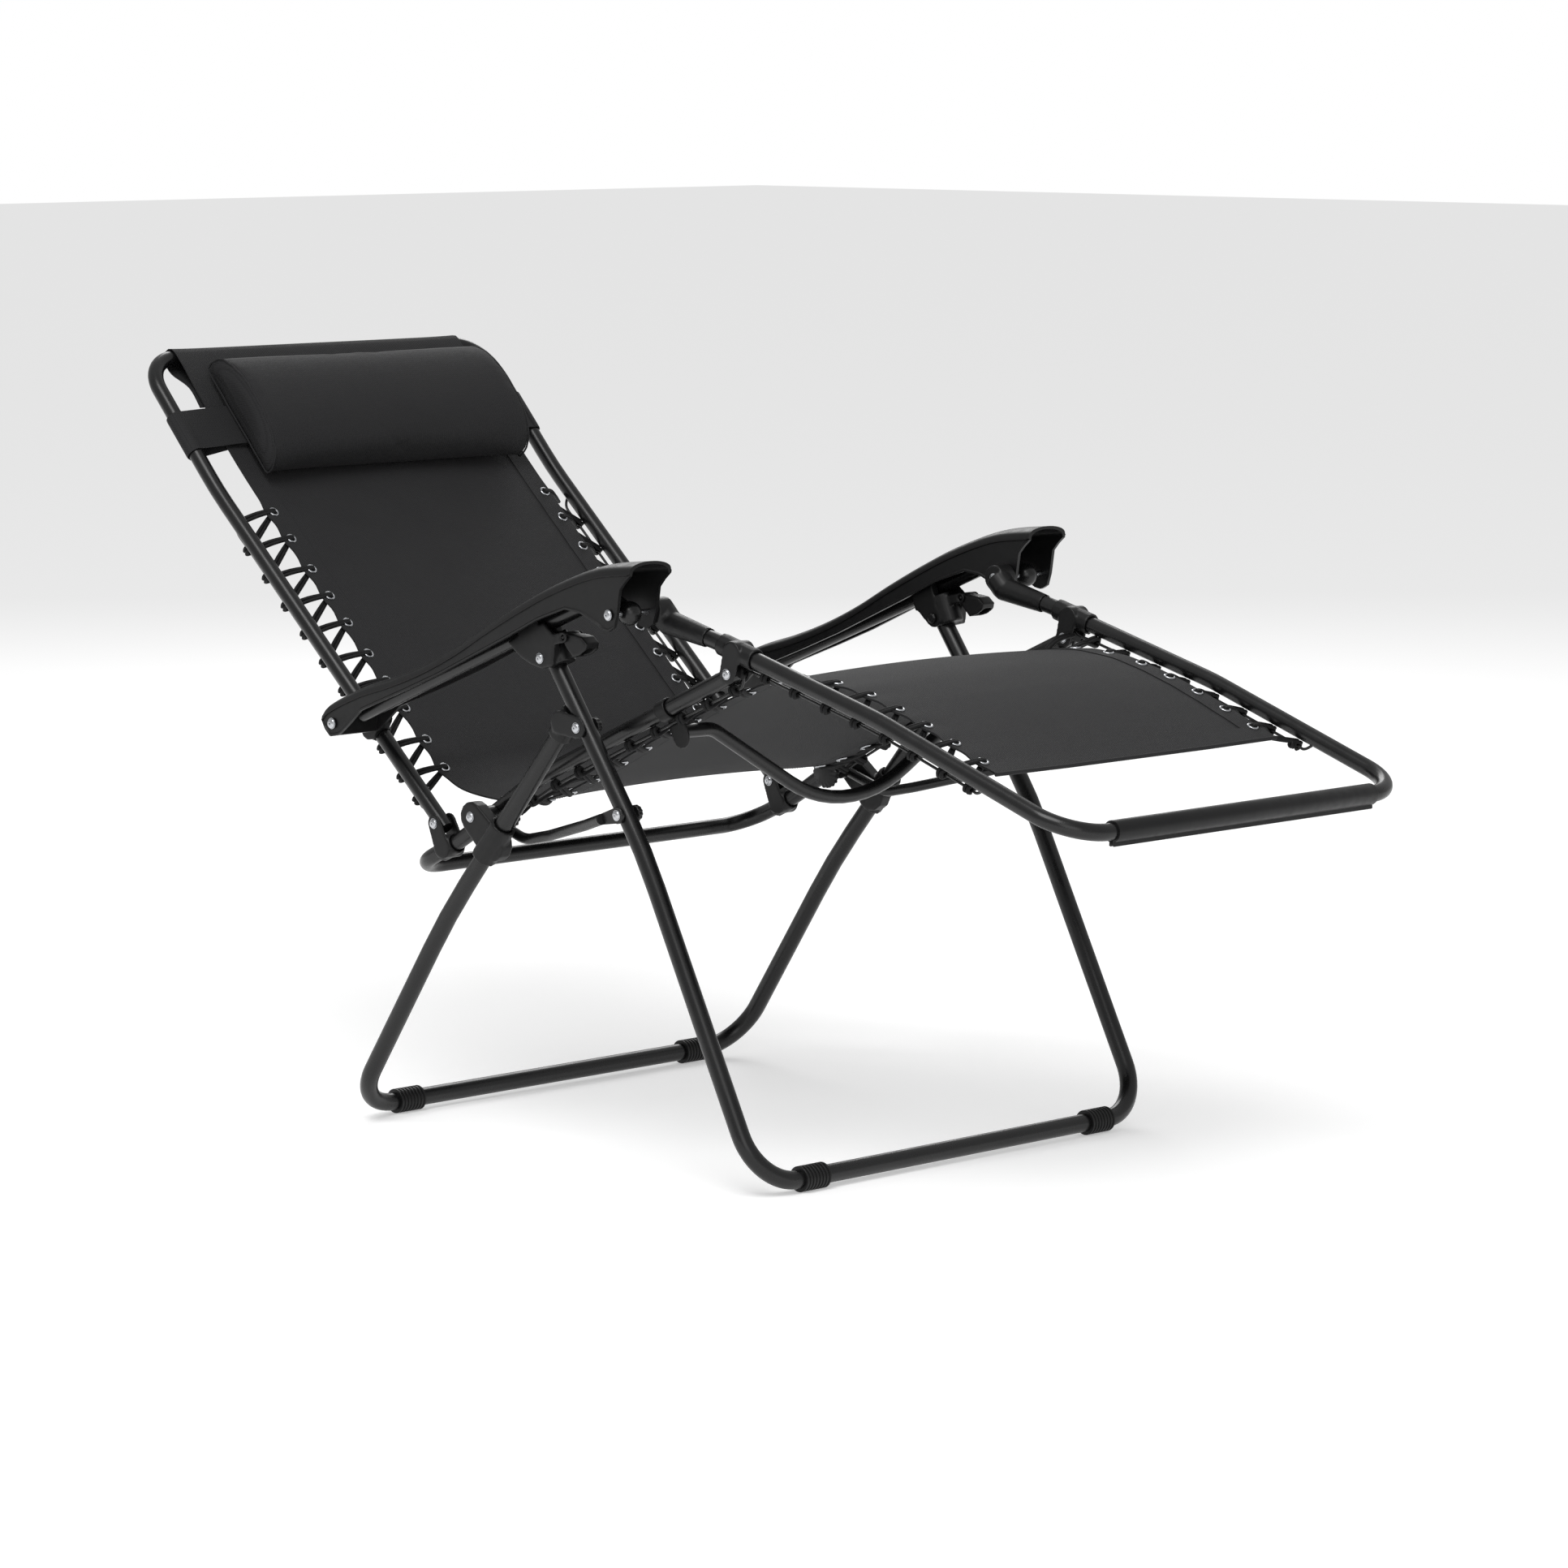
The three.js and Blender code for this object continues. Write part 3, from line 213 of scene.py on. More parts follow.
def make(name, build, material, body=None, sharp=40.0, merge=True):
    """A piece from gathered faces; edges turning by more than sharp degrees stay crisp."""
    mesh = bpy.data.meshes.new(name)
    mesh.from_pydata([tuple(v * MM) for v in build.verts], [], build.faces)
    if build.uvs:
        layer = mesh.uv_layers.new(name="UVMap")
        for loop in mesh.loops:
            layer.data[loop.index].uv = build.uvs[loop.vertex_index]
    bm = bmesh.new()
    bm.from_mesh(mesh)
    if merge:
        bmesh.ops.remove_doubles(bm, verts=bm.verts, dist=1e-6)
    bmesh.ops.recalc_face_normals(bm, faces=bm.faces)
    bm.to_mesh(mesh)
    bm.free()
    mesh.shade_smooth()
    mesh.set_sharp_from_angle(angle=math.radians(sharp))
    mesh.materials.append(material)
    piece = bpy.data.objects.new(name, mesh)
    bpy.context.collection.objects.link(piece)
    if body:
        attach(piece, body)
    return piece


def apply_modifiers(piece):
    """Swap the piece's mesh for what its modifiers make of it."""
    bpy.context.view_layer.update()
    evaluated = piece.evaluated_get(bpy.context.evaluated_depsgraph_get())
    mesh = bpy.data.meshes.new_from_object(evaluated)
    piece.modifiers.clear()
    old = piece.data
    piece.data = mesh
    bpy.data.meshes.remove(old)


SIDES = (("left", 1), ("right", -1))


# ------------------------------------------------------------------ materials
class Shader:
    def __init__(self, name, **values):
        self.material = bpy.data.materials.new(name)
        self.material.use_nodes = True
        self.tree = self.material.node_tree
        self.bsdf = self.tree.nodes["Principled BSDF"]
        for key, value in values.items():
            self.bsdf.inputs[key.replace("_", " ")].default_value = value

    def node(self, kind, **inputs):
        node = self.tree.nodes.new(kind)
        for key, value in inputs.items():
            key = key.replace("_", " ")
            if isinstance(value, bpy.types.NodeSocket):
                self.tree.links.new(value, node.inputs[key])
            else:
                node.inputs[key].default_value = value
        return node

    def link(self, a, b):
        self.tree.links.new(a, b)

    def coords(self, space="Object"):
        return self.tree.nodes.new("ShaderNodeTexCoord").outputs[space]

    def noise(self, vector, scale, detail=2.0, roughness=0.5):
        return self.node("ShaderNodeTexNoise", Vector=vector, Scale=scale, Detail=detail,
                         Roughness=roughness).outputs["Fac"]

    def ramp(self, factor, low, high, start=0.3, end=0.7):
        node = self.node("ShaderNodeValToRGB", Fac=factor)
        stops = node.color_ramp.elements
        for stop, position, value in ((stops[0], start, low), (stops[1], end, high)):
            stop.position = position
            stop.color = (*value, 1) if hasattr(value, "__len__") else (value, value, value, 1)
        return node.outputs["Color"]

    def maths(self, operation, a, b=None):
        node = self.tree.nodes.new("ShaderNodeMath")
        node.operation = operation
        for socket, value in zip(node.inputs, (a, b)):
            if value is None:
                continue
            if isinstance(value, bpy.types.NodeSocket):
                self.link(value, socket)
            else:
                socket.default_value = value
        return node.outputs[0]

    def bump(self, height, distance, strength=1.0, normal=None):
        node = self.node("ShaderNodeBump", Height=height, Distance=distance, Strength=strength)
        if normal is not None:
            self.link(normal, node.inputs["Normal"])
        self.link(node.outputs["Normal"], self.bsdf.inputs["Normal"])
        return node.outputs["Normal"]


BLACK_LOW, BLACK_HIGH = (0.0036, 0.0036, 0.0038), (0.006, 0.006, 0.0063)


def coated_steel():
    s = Shader("coated_steel", Metallic=0.0)
    pos = s.coords()
    s.link(s.ramp(s.noise(pos, 9.0, 3.0), BLACK_LOW, BLACK_HIGH), s.bsdf.inputs["Base Color"])
    s.link(s.ramp(s.noise(pos, 60.0, 4.0), 0.24, 0.33), s.bsdf.inputs["Roughness"])
    s.bsdf.inputs["Specular IOR Level"].default_value = 0.42
    peel = s.bump(s.noise(pos, 420.0, 2.0), 0.00006, 0.35)
    s.bump(s.noise(pos, 2600.0, 1.0), 0.00002, 0.25, peel)
    return s.material


def moulded_plastic():
    s = Shader("moulded_plastic")
    pos = s.coords()
    s.link(s.ramp(s.noise(pos, 14.0, 3.0), BLACK_LOW, BLACK_HIGH), s.bsdf.inputs["Base Color"])
    s.link(s.ramp(s.noise(pos, 90.0, 3.0), 0.36, 0.48), s.bsdf.inputs["Roughness"])
    s.bsdf.inputs["Specular IOR Level"].default_value = 0.3
    s.bump(s.noise(pos, 1900.0, 2.0), 0.00005, 0.3)
    return s.material


def plated_steel():
    s = Shader("plated_steel", Metallic=1.0)
    pos = s.coords()
    s.link(s.ramp(s.noise(pos, 200.0, 2.0), (0.42, 0.43, 0.45), (0.62, 0.63, 0.65)),
           s.bsdf.inputs["Base Color"])
    s.link(s.ramp(s.noise(pos, 700.0, 3.0), 0.16, 0.34), s.bsdf.inputs["Roughness"])
    return s.material


def woven(name, across, along, low, high, coords="UV", axes=("X", "Y")):
    """Woven cloth: ribs one way, cross threads the other, as shading and relief.

    across and along are the thread spacings in metres; low and high are the two tones.
    """
    s = Shader(name)
    uv = s.coords(coords)
    split = s.node("ShaderNodeSeparateXYZ", Vector=uv)
    u, v = split.outputs[axes[0]], split.outputs[axes[1]]
    wave_u = s.maths("SINE", s.maths("MULTIPLY", u, 2 * math.pi / across))
    wave_v = s.maths("SINE", s.maths("MULTIPLY", v, 2 * math.pi / along))
    ribs = s.maths("MULTIPLY_ADD", wave_u, 0.32)
    ribs.node.inputs[2].default_value = 0.5
    weave = s.maths("MULTIPLY_ADD", s.maths("MULTIPLY", wave_u, wave_v), 0.3)
    s.link(ribs, weave.node.inputs[2])
    cloud = s.noise(uv, 22.0, 4.0)
    thread = s.noise(uv, 900.0, 2.0)
    shade = s.maths("MULTIPLY_ADD", weave, 0.6)
    s.link(s.maths("MULTIPLY_ADD", cloud, 0.3), shade.node.inputs[2])
    s.link(s.ramp(shade, low, high, 0.15, 0.95), s.bsdf.inputs["Base Color"])
    s.link(s.ramp(thread, 0.6, 0.78), s.bsdf.inputs["Roughness"])
    s.bsdf.inputs["Specular IOR Level"].default_value = 0.14
    s.bsdf.inputs["Sheen Weight"].default_value = 0.02
    s.bsdf.inputs["Sheen Roughness"].default_value = 0.45
    s.bump(weave, 0.0004, 0.9)
    return s.material


def elastic_cord():
    s = Shader("elastic_cord", Roughness=0.62)
    pos = s.coords()
    s.link(s.ramp(s.noise(pos, 500.0, 2.0), (0.003, 0.003, 0.0032), (0.009, 0.009, 0.0095)),
           s.bsdf.inputs["Base Color"])
    s.bsdf.inputs["Specular IOR Level"].default_value = 0.2
    s.bump(s.noise(pos, 1500.0, 3.0), 0.0003, 0.7)
    return s.material


def thread_material():
    s = Shader("sewing_thread", Roughness=0.7)
    s.link(s.ramp(s.noise(s.coords(), 900.0, 2.0), (0.012, 0.012, 0.0125), (0.03, 0.03, 0.031)),
           s.bsdf.inputs["Base Color"])
    return s.material


STEEL = coated_steel()
PLASTIC = moulded_plastic()
CHROME = plated_steel()
MESH = woven("woven_mesh", 0.0027, 0.0017, (0.0026, 0.0026, 0.0028), (0.021, 0.021, 0.0218))
PILLOW_CLOTH = woven("pillow_cloth", 0.0022, 0.0022, (0.004, 0.004, 0.0042),
                     (0.019, 0.019, 0.0198), "Object", ("X", "Z"))
CORD = elastic_cord()
THREAD = thread_material()
SLOTS = {"coated_steel": STEEL, "moulded_plastic": PLASTIC, "chrome": CHROME, "mesh_fabric": MESH,
         "pillow_fabric": PILLOW_CLOTH, "elastic_cord": CORD}
for part in frame["record"]["subparts"]:
    node = frame["nodes"][part["node"]]
    for entry in node.material_slots:
        entry.material = SLOTS[part["material_slot"]]


# ------------------------------------------------------------------ steel tubes
TUBE_SIDES = 28


def u_frame(x, route, radii, corner):
    """A side-view route on both sides of the chair, joined across its far end."""
    corners = [at(-x, p) for p in route] + [at(x, p) for p in reversed(route)]
    return bent(corners, [*radii, corner, corner, *reversed(radii)])


def tube_piece(name, points, radius, body, *nodes):
    piece = make(name, Build().tube(points, radius, TUBE_SIDES), STEEL, body)
    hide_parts(*nodes)
    return piece


tube_piece("front_leg_tube", u_frame(LEG_X, FRONT_LEG, [600], 58), LEG_R,
           "front_legs", "front_leg_frame")
tube_piece("rear_leg_tube", u_frame(LEG_X, REAR_LEG, [900], 58), LEG_R,
           "rear_legs", "rear_leg_frame")
tube_piece("seat_tube", u_frame(FRAME_X, SEAT_TUBE, [300, 250], 42), FRAME_R,
           "seat", "seat_frame")
tube_piece("leg_rest_tube", u_frame(FRAME_X, LEG_REST_TUBE, [150, 400], 55), FRAME_R,
           "leg_rest", "leg_rest_frame")
tube_piece("back_tube", u_frame(FRAME_X, BACK_TUBE, [500], 46), FRAME_R,
           "back", "back_frame")
STRETCHER = [(-250, 475), (-207, 474), (0, 354), (207, 474), (250, 475)]
tube_piece("under_seat_tube", bent([at(x, (-151, z)) for x, z in STRETCHER], [40, 180, 40]),
           STRETCHER_R, "seat", "seat_stretcher")


# ------------------------------------------------------------------ link bars and armrest rods
KNUCKLE_R = 13

for side, sign in SIDES:
    ear = LEG_X + LEG_R + 0.6
    route = [(ear + 5, (-97, 382)), (ear - 6, (-60, 371)), (284.5, (20, 350)), (281.5, (62, 341)),
             (281.5, toward(SEAT_PIVOT, (95, 350), 4))]
    bar = Build().tube(bent([at(sign * x, p) for x, p in route], [60, 60, 40, 24]), LINK_R, 20)
    eye_front = [(6.0, 0), (8.6, 0.2), (9.2, 1.0), (9.2, 3.2), (8.6, 4.0), (6.0, 4.0)]
    bar.lathe(eye_front, at(sign * ear, LINK_FRONT), Vector((sign, 0, 0)))
    tongue = [toward(LINK_FRONT, (-96, 381.8), r) for r in (0, 23)]
    normal = Vector((0, tongue[1][1] - tongue[0][1], tongue[0][0] - tongue[1][0])).normalized()
    wide = [(p[0] + w * normal.y, p[1] + w * normal.z) for p, w in
            ((tongue[0], 8.6), (tongue[1], 6), (tongue[1], -6), (tongue[0], -8.6))]
    bar.plate(wide, sign * (ear + 0.1), sign * (ear + 3.9))
    eye_rear = [(4, 0), (10, 0), (10, 16.5), (4, 16.5)]
    bar.lathe(eye_rear, at(sign * 271.7, SEAT_PIVOT), Vector((sign, 0, 0)))
    piece = make(f"link_{side}", bar, STEEL, "links")
    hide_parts(f"link_bar_{side}")

    rod_end = toward(ARM_FRONT, ROD[1], 4)
    rod_route = [at(sign * ARM_X, p) for p in (*ROD, rod_end)]
    rod = Build().tube(bent(rod_route, [36]), ROD_R, TUBE_SIDES)
    ball = [(KNUCKLE_R * math.sin(math.pi * k / 16), -KNUCKLE_R * math.cos(math.pi * k / 16))
            for k in range(17)]
    rod.lathe(ball, at(sign * ARM_X, ARM_FRONT), Vector((sign, 0, 0)))
    piece = make(f"armrest_slide_rod_{side}", rod, STEEL, "armrests")
    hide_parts(f"armrest_rod_{side}")


# ------------------------------------------------------------------ moulded pieces
VOXEL, SMOOTHING_STEPS = 1.3, 5


def moulded(name, node, body):
    """A rounded copy of a CAD fitting: the same shape with moulded edges and fillets."""
    source = frame["nodes"][node]
    piece = bpy.data.objects.new(name, source.data.copy())
    piece.matrix_world = source.matrix_world
    bpy.context.collection.objects.link(piece)
    piece.data.materials.clear()
    remesh = piece.modifiers.new("remesh", "REMESH")
    remesh.mode = "VOXEL"
    remesh.voxel_size = VOXEL * MM
    smooth = piece.modifiers.new("smooth", "SMOOTH")
    smooth.iterations = SMOOTHING_STEPS
    smooth.factor = 0.5
    apply_modifiers(piece)
    piece.data.materials.append(PLASTIC)
    piece.data.shade_smooth()
    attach(piece, body)
    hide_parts(node)


for side, sign in SIDES:
    for node, body in (("rear_leg_end", "rear_legs"), ("slider_sleeve", "sliders"),
                       ("lock_housing", "locks"), ("back_hinge_bracket", "seat"),
                       ("stretcher_tab", "seat"), ("knee_clamp", "leg_rest"),
                       ("leg_rest_end", "leg_rest"), ("lock_lever", f"lock_lever_{side}")):
        moulded(f"{node}_moulded_{side}", f"{node}_{side}", body)


def foot_cap(name, node, y, sign, body):
    """A ribbed sleeve near one end of a floor bar."""
    inner, outer, ribs = 207.0, 243.0, 7
    pitch = (outer - inner) / (2 * ribs + 1)
    profile = [(LEG_R + 0.3, 0.0), (12.6, 0.0)]
    for i in range(2 * ribs + 1):
        r = 13.9 if i % 2 == 0 else 12.9
        profile += [(r - 0.3, i * pitch + 0.15), (r, i * pitch + 0.5),
                    (r, (i + 1) * pitch - 0.5), (r - 0.3, (i + 1) * pitch - 0.15)]
    profile += [(12.6, outer - inner), (LEG_R + 0.3, outer - inner)]
    cap = Build().lathe(profile, at(sign * inner, (y, FLOOR_BAR_Z)), Vector((sign, 0, 0)), 48)
    piece = make(name, cap, PLASTIC, body)
    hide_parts(node)


for side, sign in SIDES:
    foot_cap(f"front_foot_{side}", f"front_foot_cap_{side}", FRONT_LEG[-1][0], sign, "front_legs")
    foot_cap(f"rear_foot_{side}", f"rear_foot_cap_{side}", REAR_LEG[-1][0], sign, "rear_legs")


# ------------------------------------------------------------------ bolts
def dome(build, centre, outward, radius=5.2, height=2.8):
    """A domed bolt head on a thin washer face."""
    steps = 9
    profile = [(0.0, -0.2), (radius + 0.6, -0.2), (radius + 0.6, 0.25), (radius, 0.3)]
    for k in range(steps + 1):
        w = math.pi / 2 * k / steps
        profile.append((radius * math.cos(w) if k < steps else 2.0,
                        0.5 + (height - 0.5) * math.sin(w) ** 0.9))
    profile += [(1.7, height - 0.6), (0.0, height - 0.6)]
    build.lathe(profile, centre, outward, 32)


def round_nut(name, centre, outward, radius, height, ribs, body):
    """A plastic nut cover with gripping ribs round its edge."""
    sides = ribs * 4
    axis = outward.normalized()
    a = Vector((0, 1, 0))
    b = axis.cross(a)
    rings = []
    for reach, shrink in ((0, 0.94), (0.6, 1.0), (height * 0.62, 1.0), (height * 0.82, 0.9),
                          (height, 0.7)):
        ring = []
        for k in range(sides):
            w = 2 * math.pi * k / sides
            r = radius * shrink * (1.0 if k % 4 < 2 else 0.93)
            ring.append(centre + axis * reach + (a * math.cos(w) + b * math.sin(w)) * r)
        rings.append(ring)
    piece = make(name, Build().rings(rings), PLASTIC, body, sharp=30)


# Outer faces of the fittings that the bolts pass through, and inner faces for the nuts.
EAR_OUT = LEG_X + LEG_R + 4.6
LOCK_IN = LEG_X - LEG_R - 4.6
LOCK_OUT = ARM_X + 14.0
ARM_FACE = ARM_X + ARM_HALF_WIDTH
FORK_FACE = FRAME_R + 0.6 + 3.0


SHANK_R = 2.8


def bolt_piece(name, node, body, heads, shank):
    """Domed heads, each (centre, outward), and the shank between two points."""
    build = Build()
    for centre, outward in heads:
        dome(build, centre, outward)
    build.tube(list(shank), SHANK_R, 16)
    piece = make(name, build, CHROME, body, sharp=50)
    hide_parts(node)


for side, sign in SIDES:
    out, back_in = Vector((sign, 0, 0)), Vector((-sign, 0, 0))
    for name, pivot in (("scissor_bolt", SCISSOR), ("link_bolt", LINK_FRONT)):
        head = (at(sign * (EAR_OUT + 0.3), pivot), out)
        bolt_piece(f"{name}_plated_{side}", f"{name}_{side}", "front_legs", [head],
                   (at(sign * (LEG_X - LEG_R - 1), pivot), at(sign * (EAR_OUT + 1), pivot)))
        round_nut(f"{name}_nut_{side}", at(sign * (LEG_X - LEG_R - 0.3), pivot), back_in,
                  9, 8, 12, "front_legs")
    lock_head = (at(sign * (LOCK_OUT + 0.3), LOCK), out)
    bolt_piece(f"lock_bolt_plated_{side}", f"lock_bolt_{side}", "front_legs", [lock_head],
               (at(sign * (LOCK_IN - 1), LOCK), at(sign * (LOCK_OUT + 1), LOCK)))
    round_nut(f"lock_nut_{side}", at(sign * (LOCK_IN - 0.3), LOCK), back_in,
              6, 4, 8, "front_legs")
    bolt_piece(f"seat_pivot_plated_{side}", f"seat_pivot_bolt_{side}", "seat_pivots",
               [(at(sign * (LEG_X + 2.3), SEAT_PIVOT), out)],
               (at(sign * (FRAME_X - FRAME_R - 1), SEAT_PIVOT), at(sign * (LEG_X + 3), SEAT_PIVOT)))
    round_nut(f"seat_pivot_knob_{side}", at(sign * (FRAME_X - FRAME_R - 0.3), SEAT_PIVOT), back_in,
              19, 9, 18, "seat_pivots")
    for name, pivot, body in (("back_hinge_bolt", BACK_HINGE, "seat"),
                              ("knee_bolt", KNEE_HINGE, "leg_rest")):
        faces = [sign * (FRAME_X + FORK_FACE + 0.3), sign * (FRAME_X - FORK_FACE - 0.3)]
        bolt_piece(f"{name}_plated_{side}", f"{name}_{side}", body,
                   [(at(faces[0], pivot), out), (at(faces[1], pivot), back_in)],
                   (at(faces[1], pivot), at(faces[0], pivot)))
    bolt_piece(f"armrest_front_plated_{side}", f"armrest_front_bolt_{side}", "armrests",
               [(at(sign * (ARM_FACE + 0.3), ARM_FRONT), out)],
               (at(sign * (ARM_X - ARM_HALF_WIDTH + 0.4), ARM_FRONT),
                at(sign * (ARM_FACE + 1), ARM_FRONT)))


# ------------------------------------------------------------------ armrest shells
ARM_TOP_LINE = [(331, 455), (318, 466), (270, 486), (216, 502), (163, 521), (110, 545),
                (58, 573), (6, 599), (-46, 622), (-107, 642), (-163, 649)]
ARM_LOWER_EDGE = [(-163, 646), (-155, 639), (-147, 630), (-144, 617), (-143, 601),
                  (-138.5, 589.5), (-129, 585), (-120, 587), (-111, 592), (-87, 602),
                  (-63, 604.5), (-20, 590), (32, 566), (84, 543), (136, 520), (189, 499),
                  (266, 470), (286, 453), (303, 440), (317, 437), (326, 445), (331, 454)]
ARM_HOLLOW_END = 303


def height_at(line, y):
    """The z of a side-view line at y."""
    row = sorted(line)
    for (y0, z0), (y1, z1) in zip(row, row[1:]):
        if y <= y1:
            t = (y - y0) / (y1 - y0)
            return z0 + (z1 - z0) * max(0.0, t)
    return row[-1][1]


def armrest_section(depth, hollow):
    """Half-moon top with a bead along its edge, inset flanks and a rim below; open beneath."""
    flank, bead, inner, rise, wall = 29.3, ARM_HALF_WIDTH, 26.4, 10.2, 2.8
    low = -depth
    edge = min(2.4, depth * 0.35)
    half = [(30.4, low), (30.6, low + min(2.0, depth * 0.25)), (flank, low + min(3.4, depth * 0.4)),
            (flank, -edge - 0.8), (bead, -edge), (bead, -0.2), (30.3, 1.0)]
    crown = [(30.3 * math.cos(w), 1.0 + rise * math.sin(w) ** 0.85)
             for w in (math.pi * k / 18 for k in range(1, 18))]
    outer = half + crown + [(-u, v) for u, v in reversed(half)]
    roof = max(low, 1.0 - wall) if hollow else low
    inside = [(-inner, low), (-inner, roof)]
    for k in range(1, 12):
        w = math.pi * (1 - k / 12)
        arch = 1.0 - wall + (rise - 0.4) * math.sin(w) ** 0.85
        inside.append((inner * math.cos(w), max(low + 0.2, arch) if hollow else low))
    inside += [(inner, roof), (inner, low)]
    return outer + inside


for side, sign in SIDES:
    top = smooth_line([Vector((0, y, z)) for y, z in ARM_TOP_LINE], 14)
    rings = []
    for p in top:
        low = min(height_at(ARM_LOWER_EDGE, p.y), p.z - 0.6)
        ring = armrest_section(p.z - low, p.y <= ARM_HOLLOW_END)
        rings.append([at(sign * (ARM_X + u), (p.y, p.z + v)) for u, v in ring])
    piece = make(f"armrest_cover_{side}", Build().rings(rings), PLASTIC, "armrests",
                 sharp=34, merge=False)
    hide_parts(f"armrest_shell_{side}")
    moulded(f"armrest_clip_moulded_{side}", f"armrest_clip_{side}", "back")
    heads = Build()
    dome(heads, at(sign * (ARM_FACE + 0.4), ARM_REAR), Vector((sign, 0, 0)), 5.6, 3.2)
    piece = make(f"armrest_rear_bolt_{side}", heads, CHROME, "back", sharp=50)
    heads = Build()
    dome(heads, at(sign * (FRAME_X - 5.9), ARM_FRONT), Vector((-sign, 0, 0)), 5.6, 3.2)
    piece = make(f"leg_rest_end_bolt_{side}", heads, CHROME, "leg_rest", sharp=50)


# ------------------------------------------------------------------ foot sleeve
FOOT_BAR = LEG_REST_TUBE[-1]


def sleeve_outline():
    """A split sleeve round the foot bar, with a small lip on each side of the slit."""
    def ray(degrees, radius):
        w = math.radians(degrees)
        return (FOOT_BAR[0] + radius * math.cos(w), FOOT_BAR[1] + radius * math.sin(w))

    outer = [ray(-74 + 328 * k / 44, 11.5) for k in range(45)]
    inner = [ray(262 - 344 * k / 44, 9.35) for k in range(45)]
    return outer + [ray(257, 15.2), ray(262, 15.6)] + inner + [ray(-82, 15.6), ray(-77, 15.2)]


outline = sleeve_outline()
rings = [[at(x, (FOOT_BAR[0] + (p[0] - FOOT_BAR[0]) * shrink,
                 FOOT_BAR[1] + (p[1] - FOOT_BAR[1]) * shrink)) for p in outline]
         for x, shrink in ((-204, 0.975), (-203.2, 1.0), (203.2, 1.0), (204, 0.975))]
piece = make("foot_bar_sleeve", Build().rings(rings), PLASTIC, "leg_rest", sharp=35)
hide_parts("foot_sleeve")


# ------------------------------------------------------------------ sling
def resample(points, spacing):
    """Even steps along a row of points, returned as (arc length, point)."""
    out, run, need = [(0.0, points[0])], 0.0, spacing
    for a, b in zip(points, points[1:]):
        span = (b - a).length
        while run + span >= need:
            out.append((need, a.lerp(b, (need - run) / span)))
            need += spacing
        run += span
    if run - out[-1][0] > 0.2 * spacing:
        out.append((run, points[-1]))
    return out


back_dir = (at(0, BACK_TUBE[2]) - at(0, BACK_TUBE[1])).normalized()
back_up = Vector((0, -back_dir.z, back_dir.y))
bar = at(0, BACK_TUBE[2])
WRAP = 10.1  # radius of the sling's middle surface round the top bar
wrap_points = [bar + (back_up * math.cos(w) + back_dir * math.sin(w)) * WRAP
               for w in (math.pi * (1 - k / 10) for k in range(11))]
front_run = [bar + back_up * (WRAP + drop) - back_dir * d
             for d, drop in ((22, 0.3), (48, -1.2), (78, -2.6))]
flap = [front_run[2] - back_up * 1.9, front_run[1] - back_up * 3.2,
        bar - back_up * (WRAP - 1.5) - back_dir * 16]
LAID_RUN = [at(0, p) for p in (*BACK_LINE[1:], *SEAT_LINE, *LEG_LINE)]
SLING_PATH = smooth_line([*flap, *wrap_points, *front_run, *LAID_RUN], 8)
ROW_PITCH = 6.0
ROWS = resample(SLING_PATH, ROW_PITCH)
LENGTH = ROWS[-1][0]
FLAP_LENGTH = 96.0
EYELET_REACH = 22  # how far along the sling the pull of an eyelet is felt
EDGE_DIP, EDGE_RIPPLE, RIPPLE_FADE = 2.2, 1.1, 26
SAG, SAG_FADE_HEAD, SAG_FADE_FOOT = 6.5, 260, 160


def row_up(i):
    """The upward normal of the sling at row i."""
    (_, a), (_, b) = neighbours(ROWS, i)
    t = (b - a).normalized()
    return Vector((0, t.z, -t.y)) * -1.0


def nearest_row(p):
    free = [i for i, (s, _) in enumerate(ROWS) if s > FLAP_LENGTH + 30]
    return min(free, key=lambda i: (ROWS[i][1] - p).length)


BACK_EYELETS = [(270 + 293 * k / 9, 396 + 267 * k / 9) for k in range(10)]
SEAT_EYELETS = [(100, 376), (61.5, 388), (23, 405),
                *((-15 - 39 * k, 424 + 18.8 * k) for k in range(6))]
LEG_EYELETS = [(-252, 533), (-292, 537), (-341, 536),
               *((-387 - 40.5 * k, 529 - 15 * k) for k in range(5))]
EYE_ROWS = [nearest_row(at(0, p)) for p in (*BACK_EYELETS, *SEAT_EYELETS, *LEG_EYELETS)]


def between_eyelets(i):
    """0 at an eyelet's row, rising to 1 at EYELET_REACH from the nearest one."""
    gap = min(abs(i - r) for r in EYE_ROWS) * ROW_PITCH
    return (1 - math.cos(math.pi * min(gap, EYELET_REACH) / EYELET_REACH)) / 2


def half_width(i):
    """Half the sling's width: wider at the wrapped top, drawn in between eyelets."""
    s = ROWS[i][0]
    width = SLING_HALF_WIDTH
    if s < FLAP_LENGTH + 90:
        width += 3.5 * (1 - s / (FLAP_LENGTH + 90))
    return width - EDGE_DIP * between_eyelets(i)


def sag_at(i, x):
    """How far the sling hangs below its edge line, in the middle more than near the edges."""
    s = ROWS[i][0]
    head_end = min(1.0, max(0.0, (s - FLAP_LENGTH) / SAG_FADE_HEAD))
    ends = head_end * min(1.0, (LENGTH - s) / SAG_FADE_FOOT)
    middle = 1 - (x / SLING_HALF_WIDTH) ** 2
    near_edge = math.exp(-(SLING_HALF_WIDTH - abs(x)) / RIPPLE_FADE)
    ripple = EDGE_RIPPLE * between_eyelets(i) * near_edge
    return SAG * ends * max(0.0, middle) + ripple


def surface(i, x, lift=0.0):
    """A point of the sling at row i and x, that far above its middle surface."""
    return ROWS[i][1] + Vector((x, 0, 0)) + row_up(i) * (lift - sag_at(i, x))


